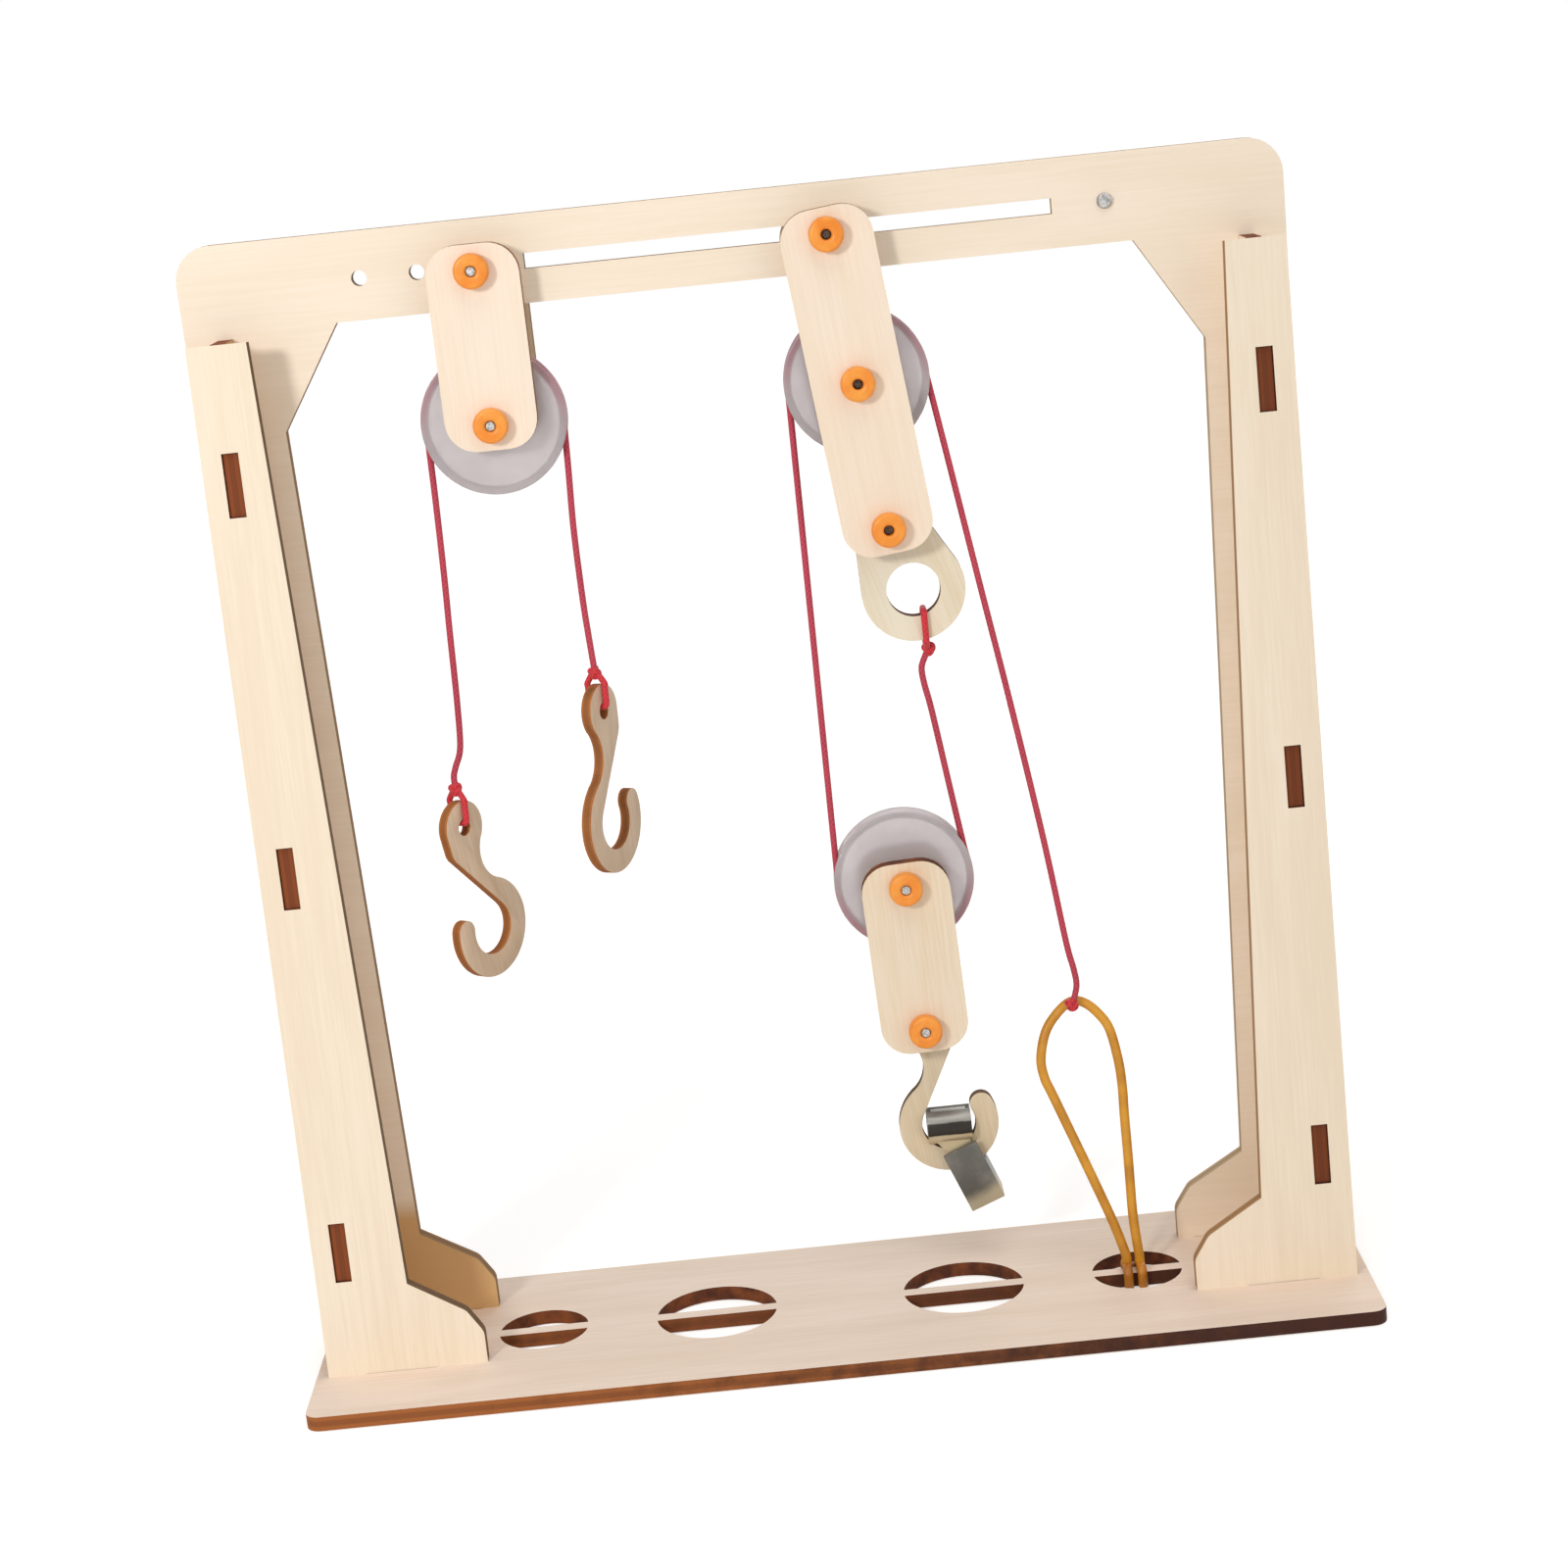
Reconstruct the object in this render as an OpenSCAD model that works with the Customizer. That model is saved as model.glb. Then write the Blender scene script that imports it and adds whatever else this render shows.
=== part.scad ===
// Bench pulley demonstrator: a plywood frame with a fixed pulley on the left
// and a fixed-and-movable pulley tackle on the right.
// Origin: centre of the base's footprint, on the surface it stands on.
// +X to the right, +Y to the back, +Z up. Millimetres.

/* [Base] */
// Width of the base plate
base_w = 215; // [205:1:235]
// Depth of the base plate
base_d = 60; // [56:1:80]
// Thickness of every plywood piece
ply = 3; // [2.6:0.1:3.2]
// Radius of the base's corners
base_corner_r = 3; // [1:0.5:6]
// Diameter of the two outer holes
end_hole_d = 18.5; // [16:0.5:20]
// Diameter of the two inner holes
mid_hole_d = 25; // [22:0.5:28]
// Distance of the outer holes from the middle
end_hole_x = 61.8; // [58:0.2:63]
// Distance of the inner holes from the middle
mid_hole_x = 25.7; // [22:0.1:30]
// How far the row of holes lies behind the middle
hole_row_y = 1.2; // [-1:0.1:2]
// Width of the bar that crosses each hole
bar_w = 3; // [2:0.2:4]

/* [Frame] */
// Width of the upright frame
frame_w = 214.4; // [210:0.2:215]
// Height of the frame above the base
frame_h = 225; // [215:1:245]
// Height of the top beam
beam_h = 17; // [14:0.5:22]
// Radius of the frame's top corners
frame_corner_r = 7; // [3:0.5:10]
// Front face of the frame, behind the middle of the base
frame_y = 15; // [13:0.5:18]
// Width of a leg at the bottom of its gusset
leg_top_w = 16.9; // [14:0.1:20]
// Width of a leg at the top of its foot
leg_foot_w = 20.2; // [18:0.1:24]
// Size of a gusset across and down
gusset_x = 12.8; // [8:0.2:18]
// Height of a gusset
gusset_z = 20; // [14:0.5:28]
// Height of the row of beam holes and of the slot above the base
beam_row_z = 216; // [212:0.5:220]
// Diameter of the beam holes
beam_hole_d = 3; // [2.8:0.1:3.4]
// Spacing of the three holes on the left of the beam
beam_hole_pitch = 11.2; // [10:0.1:13]
// Position of the hole that the left block hangs from
left_block_x = -49.6; // [-56:0.2:-46]
// Position of the pinned hole on the right
peg_x = 72.5; // [70:0.5:76]
// Left end of the slot
slot_left_x = -40; // [-42:0.5:-30]
// Right end of the slot
slot_right_x = 62.3; // [60:0.1:66]
// Height of the slot
slot_h = 3; // [2.8:0.1:3.4]

/* [Posts] */
// Width over the two front posts
posts_w = 210; // [204:0.5:212]
// Height of a front post
post_h = 207; // [196:1:208]
// Width of a post at its top
post_top_w = 11.7; // [10:0.1:14]
// Width of a post at the top of its foot
post_foot_w = 18.3; // [16:0.1:20]
// Distance from a post's front face to the frame's, at the base
post_gap_foot = 27; // [24:0.5:30]
// The same distance at the top of a post
post_gap_top = 12; // [9:0.5:18]
// Height of the top of a foot
foot_knee_z = 18.2; // [15:0.2:22]
// Height of the outer end of a foot's slope
foot_slope_z = 11.3; // [9:0.1:13]
// Distance of a foot's inner end from the middle
foot_end_x = 72.4; // [71.6:0.1:74]
// Distance of a mortise from the post's outer edge
mortise_inset = 5.7; // [5:0.1:6.4]
// Height of a mortise
mortise_h = 12.4; // [10:0.2:14]
// Height of the lowest mortise's middle above the base
mortise_z = 26; // [24:0.5:30]
// Spacing of the three mortises
mortise_pitch = 77.2; // [70:0.2:79]
// Depth of the webs' tabs below the face of a post
tab_recess = 0.7; // [0.2:0.1:1.2]

/* [Blocks] */
// Diameter of every steel axle
axle_d = 2; // [1.6:0.1:2.2]
// Length of an axle
axle_l = 20.6; // [19:0.1:21]
// Diameter of an end cap
cap_d = 6.8; // [5:0.1:8]
// Length of an end cap
cap_l = 3; // [2.6:0.1:4]
// Width of a block's side plates
plate_w = 18; // [16:0.5:19]
// Radius of a side plate's corners
plate_corner_r = 6; // [3:0.5:7.5]
// Clear space between the two side plates of a block
plate_gap = 9; // [8.4:0.1:10]
// Length of a side plate past its end axle
plate_end = 5; // [4.2:0.1:6]
// Distance between the axles of the left block
left_pitch = 29.5; // [28:0.5:34]
// Distance between the axles of the centre block
centre_pitch = 29; // [28:0.5:32]
// Distance between the axles of the movable block
movable_pitch = 30.6; // [29:0.2:34]
// Place of the centre block along the slot
centre_block_x = 18.4; // [16:0.2:20]
// Lean of the centre block
centre_lean = 6.6; // [5:0.1:8]
// Height of the movable pulley's axle above the base's underside
movable_z = 87.9; // [86:0.1:92]
// Lean of the movable block
movable_lean = 2.4; // [0:0.1:4]

/* [Pulleys and cord] */
// Diameter of a pulley
pulley_d = 28.6; // [28:0.1:29.2]
// Width of a pulley's rim
rim_w = 5; // [4:0.2:6]
// Diameter of the cord
cord_d = 1.3; // [1:0.1:1.5]
// Radius at which the cord's middle runs on a pulley
cord_run_r = 13.5; // [13.5:0.1:13.6]
// Thickness of the rubber band
band_d = 2; // [1.4:0.1:2.4]
// Diameter of a knot
knot_d = 3.2; // [2.6:0.1:3.6]

/* [Hooks and weight] */
// Middle radius of a hook's bend
hook_r = 8; // [7.6:0.1:8.6]
// Width of a hook's arm
hook_w = 4.8; // [4.2:0.1:5.4]
// Thickness of the hooks
hook_t = 2.2; // [1.8:0.1:3]
// Distance from a hook's eye to the middle of its bend
hook_drop = 23.1; // [21:0.1:24]
// Radius of a hook's head
head_r = 5.5; // [4.8:0.1:5.8]
// Diameter of a hook's eye
eye_d = 3.4; // [3.2:0.1:4.4]
// Radius of the hollow behind a hook's neck
neck_r = 7; // [5:0.2:9]
// Outer radius of the eye plate's ring
ring_r = 10.4; // [9.8:0.1:11]
// Diameter of the eye plate's hole
ring_hole_d = 10.8; // [9:0.1:12]
// Distance from the eye plate's axle to the middle of its ring
ring_drop = 14.2; // [13.4:0.1:15]
// Width of the weight's block
weight_w = 7.6; // [5:0.1:8]
// Length of the weight's block
weight_l = 13.8; // [11:0.1:14]

/* [Hidden] */
$fn = 64;

// Clearances
seat = 0.05;        // between pieces that bear on each other
tab_fit = 0.15;     // round a tab in its mortise
running = 0.06;     // round an axle that a piece turns on
groove_play = 0.1;  // under the cord in a pulley's groove

// Heights and planes
base_top = ply;
mid_y = frame_y + ply / 2;          // the plane that pulleys, cords and hooks share
plate_front_y = mid_y - plate_gap / 2 - ply;
plate_rear_y = mid_y + plate_gap / 2;
row_z = base_top + beam_row_z;
leg_mid_x = posts_w / 2 - mortise_inset;
post_y = frame_y - post_gap_foot;
post_lean = atan((post_gap_foot - post_gap_top) / post_h);
foot_corner_r = 3;
foot_slope_x = foot_end_x + 3.1;
foot_end_z = foot_slope_z - 4.8;

// Axle centres of the three blocks, as [x, z]
function below(p, pitch, lean) = [p[0] + pitch * sin(lean), p[1] - pitch * cos(lean)];
left_top = [left_block_x, row_z - (beam_hole_d - axle_d) / 2 + seat];
left_low = below(left_top, left_pitch, 0);
centre_top = [centre_block_x, row_z - (slot_h - axle_d) / 2 + seat];
centre_mid = below(centre_top, centre_pitch, centre_lean);
centre_low = below(centre_top, 2 * centre_pitch, centre_lean);
movable_top = [centre_mid[0], movable_z];
movable_low = below(movable_top, movable_pitch, movable_lean);

// The weight sits in the bend of the load hook
load_hook_lean = 8;
load_eye = below(movable_low, (eye_d - axle_d) / 2 - seat, load_hook_lean);
bend_centre = below(load_eye, hook_drop, load_hook_lean);

// The eye plate's ring
eye_plate_lean = 16.5;
ring_centre = below(centre_low, ring_drop, eye_plate_lean);

// Hook placement: eye as [x, z], turn about the cord, lean in the hook's own plane
long_eye = [-67, 107.9];
long_turn = 55;
long_lean = 11.5;
short_eye = [-36.1, 129];
short_turn = 64;
short_lean = -1;
knot_rise = head_r + 0.9 + knot_d / 2;    // a knot's height over its hook's eye
cord_stop = knot_d / 2 + 0.06;            // where a cord ends, short of the middle of its knot

// Angle at which the tail and the right-hand run leave their pulleys, from level
tail_angle = 9.1;
right_angle = 7.9;

// Cord routes, points chosen by hand from the pulley to the knot: [x, y, z]
long_route = [
    [left_low[0] - cord_run_r, mid_y, left_low[1]],
    [-63.2, mid_y, 175],
    [-63.5, mid_y, 160],
    [-63.9, mid_y, 148],
    [-64.3, mid_y, 134],
    [-64.9, mid_y, 124.5],
    [-66.3, mid_y, 120.6],
    [-66.95, mid_y, 118.7],
    [long_eye[0], mid_y, long_eye[1] + knot_rise + cord_stop]
];
short_route = [
    [left_low[0] + cord_run_r, mid_y, left_low[1]],
    [-36.4, mid_y, 178],
    [-36.8, mid_y, 166],
    [-36.7, mid_y, 152],
    [-36.4, mid_y, 144],
    [short_eye[0], mid_y, short_eye[1] + knot_rise + cord_stop]
];
left_run_x = centre_mid[0] - cord_run_r;
left_route = [
    [left_run_x, mid_y, centre_mid[1]],
    [left_run_x, mid_y, 155],
    [left_run_x, mid_y, 120],
    [left_run_x, mid_y, movable_z]
];
eye_knot = [31.1, mid_y, 134.8];
right_route = [
    [movable_top[0] + cord_run_r * cos(right_angle), mid_y, movable_z + cord_run_r * sin(right_angle)],
    [33, mid_y, 104.6],
    [30.6, mid_y, 122],
    [29.6, mid_y, 127.6],
    [29.3, mid_y, 130.6],
    [29.6, mid_y, 132],
    [30.2, mid_y, 133.25]
];
tail_route = [
    [centre_mid[0] + cord_run_r * cos(tail_angle), mid_y, centre_mid[1] + cord_run_r * sin(tail_angle)],
    [38.3, 15.4, 172],
    [42.3, 13.9, 147],
    [46.2, 12.4, 123],
    [50.4, 10.4, 95],
    [53.2, 8.6, 73],
    [54.2, 7.7, 67.5],
    [54.5, 7.1, 64.2],
    [53.9, 6.8, 61.9]
];
band_knot_at = [53.2, 6.6, 60.3];
bar_front_y = hole_row_y - bar_w / 2;
bar_rear_y = hole_row_y + bar_w / 2;
hitch_off = band_d / 2 + 0.15;            // from the bar's faces to the middle of the band's turns
hitch_top = base_top + hitch_off;
hitch_x = [59.7, 62.6];                   // the two turns over the bar
band_route = [
    [hitch_x[1] - 0.1, hole_row_y, hitch_top + band_d / 2 + 0.08],
    [hitch_x[1] - 0.1, hole_row_y, hitch_top + band_d / 2 + 1],
    [62.2, 1.4, 9.5],
    [61.9, 2.4, 15.5],
    [62, 3.9, 26.3],
    [62, 5.1, 35.7],
    [62.1, 5.9, 41.4],
    [61.8, 6.8, 47],
    [60.6, 8, 53.6],
    [58.6, 8.8, 57],
    [56, 9.3, 59.4],
    [53.2, 9.5, 59.9],
    [50, 9, 57.6],
    [47.4, 8, 54.2],
    [46, 7, 49],
    [46.4, 6.4, 45],
    [47.5, 5.9, 42],
    [50, 5, 35.2],
    [54.3, 3.6, 23.4],
    [57.4, 2.6, 14.6],
    [59.1, 1.7, 9],
    [hitch_x[0] + 0.1, hole_row_y, hitch_top + band_d / 2 + 1],
    [hitch_x[0] + 0.1, hole_row_y, hitch_top + band_d / 2 + 0.08]
];

// ---- outlines ----

function unit(v) = v / norm(v);

// Points of a corner b rounded to radius r, between its neighbours a and c
function corner(a, b, c, r) =
    let (u = unit(a - b), w = unit(c - b), half = acos(u * w) / 2)
    let (centre = b + unit(u + w) * r / sin(half))
    let (s = b + u * r / tan(half) - centre, e = b + w * r / tan(half) - centre)
    let (from = atan2(s[1], s[0]), turn = atan2(s[0] * e[1] - s[1] * e[0], s * e))
    let (steps = max(2, ceil(abs(turn) / 12)))
    [for (i = [0:steps]) centre + r * [cos(from + turn * i / steps), sin(from + turn * i / steps)]];

// Outline through [x, y, radius] points, with every corner rounded
function rounded(p) =
    let (n = len(p), at = function (i) [p[(i + n) % n][0], p[(i + n) % n][1]])
    [for (i = [0:n - 1]) each (p[i][2] == 0 ? [at(i)] : corner(at(i - 1), at(i), at(i + 1), p[i][2]))];

module rounded_rect(w, h, r) {
    polygon(rounded([
        [-w / 2, -h / 2, r], [w / 2, -h / 2, r], [w / 2, h / 2, r], [-w / 2, h / 2, r]
    ]));
}

// Two discs joined by their outer tangents: r1 at the origin, r2 a distance d below it
module link(r1, r2, d) {
    a = asin((r2 - r1) / d);
    circle(r1);
    translate([0, -d]) circle(r2);
    polygon([
        [r1 * cos(a), r1 * sin(a)], [-r1 * cos(a), r1 * sin(a)],
        [-r2 * cos(a), -d + r2 * sin(a)], [r2 * cos(a), -d + r2 * sin(a)]
    ]);
}

// Stands an XY outline up in the XZ plane, its front face at y
module stand(y, depth = ply) {
    translate([0, y + depth, 0]) rotate([90, 0, 0]) linear_extrude(depth) children();
}

// ---- swept tubes ----

// Direction of a route at its point i
function heading(p, i) = unit(p[min(i + 1, len(p) - 1)] - p[max(i - 1, 0)]);

// One ring of a tube: n points of radius r round p[i], square to the route
function ring(p, i, r, n, across) =
    let (t = heading(p, i), side = unit(cross(t, across)), up = cross(t, side))
    [for (k = [0:n - 1]) p[i] + r * (cos(360 * k / n) * side + sin(360 * k / n) * up)];

// A closed solid tube along an open route that never runs along the direction "across"
module tube(p, d, n = 8, across = [0.02, 1, 0.01]) {
    m = len(p);
    points = [for (i = [0:m - 1]) each ring(p, i, d / 2, n, across)];
    walls = [for (i = [0:m - 2], k = [0:n - 1]) each [
        [i * n + k, (i + 1) * n + k, (i + 1) * n + (k + 1) % n],
        [i * n + k, (i + 1) * n + (k + 1) % n, i * n + (k + 1) % n]
    ]];
    start = [[for (k = [0:n - 1]) k]];
    end = [[for (k = [0:n - 1]) (m - 1) * n + n - 1 - k]];
    polyhedron(points, concat(walls, start, end));
}

// A cord lying in a pulley's groove, from angle a0 over the sweep
module cord_arc(centre, a0, sweep) {
    translate([centre[0], mid_y, centre[1]])
        rotate([90, 0, 0])
            rotate([0, 0, a0])
                rotate_extrude(angle = sweep) translate([cord_run_r, 0]) circle(d = cord_d, $fn = 24);
}

// ---- hardware ----

module axle_at(p, length = axle_l) {
    translate([p[0], mid_y + length / 2, p[1]]) rotate([90, 0, 0]) cylinder(d = axle_d, h = length, $fn = 32);
}

module cap() {
    bore_r = axle_d / 2 + seat;
    rotate_extrude() polygon([
        [bore_r, 0], [cap_d / 2, 0], [cap_d / 2, cap_l - 1], [cap_d / 2 - 0.6, cap_l],
        [bore_r + 0.7, cap_l], [bore_r, cap_l - 0.6]
    ]);
}

// The pair of caps that holds both side plates on one axle
module caps_at(p) {
    translate([p[0], plate_front_y - seat, p[1]]) rotate([90, 0, 0]) cap();
    translate([p[0], plate_rear_y + ply + seat, p[1]]) rotate([-90, 0, 0]) cap();
}

// A block's side plate; holes are distances of its axles below the first one
module side_plate(p, lean, holes, y) {
    last = holes[len(holes) - 1];
    translate([p[0], 0, p[1]])
        rotate([0, -lean, 0])
            stand(y) difference() {
                translate([0, -last / 2]) rounded_rect(plate_w, last + 2 * plate_end, plate_corner_r);
                for (h = holes) translate([0, -h]) circle(d = axle_d + 2 * seat, $fn = 32);
            }
}

module pulley_at(p) {
    hub_half = plate_gap / 2 - 0.3;
    bore_r = axle_d / 2 + running;
    floor_r = cord_run_r - cord_d / 2 - groove_play;
    floor_half = cord_d / 2 + groove_play;
    half = rim_w / 2;
    mouth_half = half - 0.7;
    translate([p[0], mid_y, p[1]])
        rotate([90, 0, 0])
            rotate_extrude() polygon([
                [bore_r, -hub_half], [3.4, -hub_half], [3.4, -half],
                [pulley_d / 2 - 0.3, -half], [pulley_d / 2, -half + 0.3],
                [pulley_d / 2, -mouth_half], [floor_r, -floor_half], [floor_r, floor_half],
                [pulley_d / 2, mouth_half], [pulley_d / 2, half - 0.3], [pulley_d / 2 - 0.3, half],
                [3.4, half], [3.4, hub_half], [bore_r, hub_half]
            ]);
}

// ---- woodwork ----

// Tabs under a foot: middle and width
frame_tabs = [[80.5, 9], [98, 9]];
post_tabs = [[90, 14]];

// One foot, right-hand side, from the knee down to the foot's inner end
function foot_points(knee_x) = [
    [knee_x, foot_knee_z, 0],
    [foot_slope_x, foot_slope_z, foot_corner_r],
    [foot_end_x, foot_end_z, foot_corner_r],
    [foot_end_x, 0, 0]
];

function mirrored(p) = [for (i = [len(p) - 1:-1:0]) [-p[i][0], p[i][1], p[i][2]]];

module barred_hole(d) {
    difference() {
        circle(d = d);
        square([d + 2, bar_w], center = true);
    }
}

module base_plate() {
    color("#e9d9bd") linear_extrude(ply) difference() {
        rounded_rect(base_w, base_d, base_corner_r);
        for (s = [-1, 1]) {
            translate([s * end_hole_x, hole_row_y]) barred_hole(end_hole_d);
            translate([s * mid_hole_x, hole_row_y]) barred_hole(mid_hole_d);
            for (t = frame_tabs)
                translate([s * t[0], frame_y + ply / 2])
                    square([t[1] + 2 * tab_fit, ply + 2 * tab_fit], center = true);
            for (t = post_tabs)
                translate([s * t[0], post_y + ply / 2])
                    square([t[1] + 2 * tab_fit, ply + 2 * tab_fit], center = true);
        }
    }
}

module mortises(stretch = 1) {
    for (i = [0:2])
        translate([leg_mid_x, (mortise_z + i * mortise_pitch) * stretch])
            square([ply + 2 * tab_fit, mortise_h], center = true);
}

module main_frame() {
    edge = frame_w / 2;
    knee_x = edge - leg_foot_w;
    gusset_low = [edge - leg_top_w, frame_h - beam_h - gusset_z, 0];
    gusset_high = [edge - leg_top_w - gusset_x, frame_h - beam_h, 0];
    right = concat(
        [gusset_high, gusset_low], foot_points(knee_x), [[edge, 0, 0], [edge, frame_h, frame_corner_r]]
    );
    color("#eddcc0") translate([0, 0, base_top]) stand(frame_y) difference() {
        union() {
            polygon(rounded(concat(right, mirrored(right))));
            for (s = [-1, 1], t = frame_tabs)
                translate([s * t[0] - t[1] / 2, -ply + 0.2]) square([t[1], ply]);
        }
        for (i = [0:2])
            translate([left_block_x - i * beam_hole_pitch, beam_row_z]) circle(d = beam_hole_d, $fn = 32);
        translate([peg_x, beam_row_z]) circle(d = beam_hole_d, $fn = 32);
        translate([slot_left_x, beam_row_z - slot_h / 2]) square([slot_right_x - slot_left_x, slot_h]);
        mortises();
        mirror([1, 0]) mortises();
    }
}

// A front post leans back towards the frame; this is the right-hand one
module post() {
    edge = posts_w / 2;
    top = post_h / cos(post_lean);
    knee_x = edge - post_foot_w;
    difference() {
        translate([0, post_y, base_top]) rotate([-post_lean, 0, 0]) stand(0) difference() {
            polygon(rounded(concat(
                [for (i = [0:2]) foot_points(knee_x)[i]],
                [[foot_end_x, -1, 0], [edge, -1, 0], [edge, top, 0], [edge - post_top_w, top, 0]]
            )));
            mortises(1 / cos(post_lean));
        }
        translate([0, post_y - ply, base_top - 2 * ply]) cube([base_w, 4 * ply, 2 * ply]);
    }
    for (t = post_tabs)
        translate([t[0] - t[1] / 2, post_y, 0.2]) cube([t[1], ply, base_top - 0.2]);
}

module right_post() { color("#ecdcc3") post(); }
module left_post() { color("#f4e4c8") mirror([1, 0, 0]) post(); }

// The web ties a post to the frame's leg; its tabs sit in both rows of mortises
module web() {
    foot_y = post_y + ply / cos(post_lean) + seat;
    rise = tan(post_lean);
    web_h = post_h - 0.1;
    back = frame_y - seat;
    translate([leg_mid_x - ply / 2, 0, base_top]) rotate([90, 0, 90]) linear_extrude(ply) {
        polygon([
            [foot_y + seat * rise, seat], [back, seat], [back, web_h], [foot_y + web_h * rise, web_h]
        ]);
        for (i = [0:2]) {
            z = mortise_z + i * mortise_pitch;
            translate([post_y, 0]) rotate(-post_lean)
                translate([tab_recess, z / cos(post_lean) - mortise_h / 2 + tab_fit])
                    square([ply + 1, mortise_h - 2 * tab_fit]);
            translate([back - 1, z - mortise_h / 2 + tab_fit])
                square([1 + seat + ply - tab_recess, mortise_h - 2 * tab_fit]);
        }
    }
}

module right_web() { color("#d8bb8c") web(); }
module left_web() { color("#a98559") mirror([1, 0, 0]) web(); }

module beam_peg() {
    color("#9a9a9c") translate([peg_x, frame_y + ply + 0.8, row_z]) rotate([90, 0, 0])
        cylinder(d = beam_hole_d - 2 * seat, h = ply + 1.6, $fn = 32);
}

// ---- hooks ----

tip_angle = 20;      // of the middle of the tip's round end, from level
shoulder_r = 4;
shoulder_drop = 3.5; // from the eye

function arc(centre, r, a0, a1, steps = 12) =
    [for (i = [0:steps]) centre + r * [cos(a0 + (a1 - a0) * i / steps), sin(a0 + (a1 - a0) * i / steps)]];

// Outline of a hook, its eye at the origin and its bend open to the right
module hook_outline() {
    out_r = hook_r + hook_w / 2;
    in_r = hook_r - hook_w / 2;
    bend = [0, -hook_drop];
    // the head runs down to a shoulder; the stem's right edge touches it and the inside of the bend
    shoulder = [head_r - shoulder_r, -shoulder_drop];
    line = shoulder - bend;
    cross_a = atan2(line[0], line[1]) + asin((shoulder_r + in_r) / norm(line));
    // the hollow touches the head and the outside of the bend
    to_head = head_r + neck_r;
    to_bend = out_r + neck_r;
    drop = (to_head * to_head - to_bend * to_bend + hook_drop * hook_drop) / (2 * hook_drop);
    hollow = [-sqrt(to_head * to_head - drop * drop), -drop];
    head_a = atan2(-hollow[1], -hollow[0]);
    bend_a = atan2(bend[1] - hollow[1], bend[0] - hollow[0]);
    tip = bend + hook_r * [cos(tip_angle), sin(tip_angle)];
    difference() {
        polygon(concat(
            arc(shoulder, shoulder_r, -cross_a, -6, 6),
            arc([0, 0], head_r, 0, 180 + head_a, 24),
            arc(hollow, neck_r, head_a, bend_a),
            arc(bend, out_r, 180 + bend_a, 360 + tip_angle, 32),
            arc(tip, hook_w / 2, tip_angle, tip_angle + 180),
            arc(bend, in_r, 360 + tip_angle, 180 - cross_a, 24)
        ));
        circle(d = eye_d, $fn = 32);
    }
}

module hook_at(eye, turn, lean, flip) {
    translate([eye[0], mid_y, eye[1]])
        rotate([0, 0, turn])
            stand(-hook_t / 2, hook_t) rotate(lean) mirror([flip ? 1 : 0, 0]) hook_outline();
}

// ---- named pieces ----

module left_plate_front() { color("#f1dfc6") side_plate(left_top, 0, [0, left_pitch], plate_front_y); }
module left_plate_rear() { color("#e3cfae") side_plate(left_top, 0, [0, left_pitch], plate_rear_y); }
module left_beam_axle() { color("#a8a6a4") axle_at(left_top); }
module left_pulley_axle() { color("#a8a6a4") axle_at(left_low); }
module left_caps() { color("#f59a2e") { caps_at(left_top); caps_at(left_low); } }
module left_pulley() { color("#cfc8c8") pulley_at(left_low); }
module left_cord_top() { color("#c23a50") cord_arc(left_low, 0, 180); }
module long_cord() { color("#c23a50") tube(long_route, cord_d); }
module short_cord() { color("#c23a50") tube(short_route, cord_d); }

module knot(p) { translate(p) sphere(d = knot_d, $fn = 32); }
module long_cord_knot() { color("#d3202e") knot([long_eye[0], mid_y, long_eye[1] + knot_rise]); }
module short_cord_knot() { color("#d3202e") knot([short_eye[0], mid_y, short_eye[1] + knot_rise]); }

// Loop of cord round a wall of plywood between two heights, above the wall for a hook's eye
// and below it for the eye plate; its ends point at a knot that lies "rise" past the wall,
// and stop short of the knot's middle
cord_off = cord_d / 2 + 0.12;
module wall_loop(inner_z, outer_z, wall_t, rise, stop) {
    side = wall_t / 2 + cord_off;
    s = outer_z > inner_z ? 1 : -1;
    turn_in = 0.707 * cord_off;
    shoulder = [side + 0.05, 0.3];
    end = [0, rise] + stop * unit(shoulder - [0, rise]);
    half = [
        [0, end[0], outer_z + s * end[1]], [0, shoulder[0], outer_z + s * shoulder[1]],
        [0, shoulder[0], outer_z - s * 0.6], [0, side, inner_z],
        [0, wall_t / 2 + turn_in, inner_z - s * turn_in], [0, wall_t / 2, inner_z - s * cord_off]
    ];
    other = [for (i = [len(half) - 1:-1:0]) [half[i][0], -half[i][1], half[i][2]]];
    tube(concat(half, other), cord_d, 6, [1, 0.01, 0.02]);
}

module long_hook() {
    color("#c3ac8f") hook_at(long_eye, long_turn, long_lean, true);
}
module short_hook() {
    color("#c3ac8f") hook_at(short_eye, short_turn, short_lean, false);
}
module long_hook_loop() {
    color("#d3202e") translate([long_eye[0], mid_y, long_eye[1]]) rotate([0, 0, long_turn])
        wall_loop(eye_d / 2, head_r, hook_t, knot_rise - head_r, cord_stop);
}
module short_hook_loop() {
    color("#d3202e") translate([short_eye[0], mid_y, short_eye[1]]) rotate([0, 0, short_turn])
        wall_loop(eye_d / 2, head_r, hook_t, knot_rise - head_r, cord_stop);
}

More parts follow.
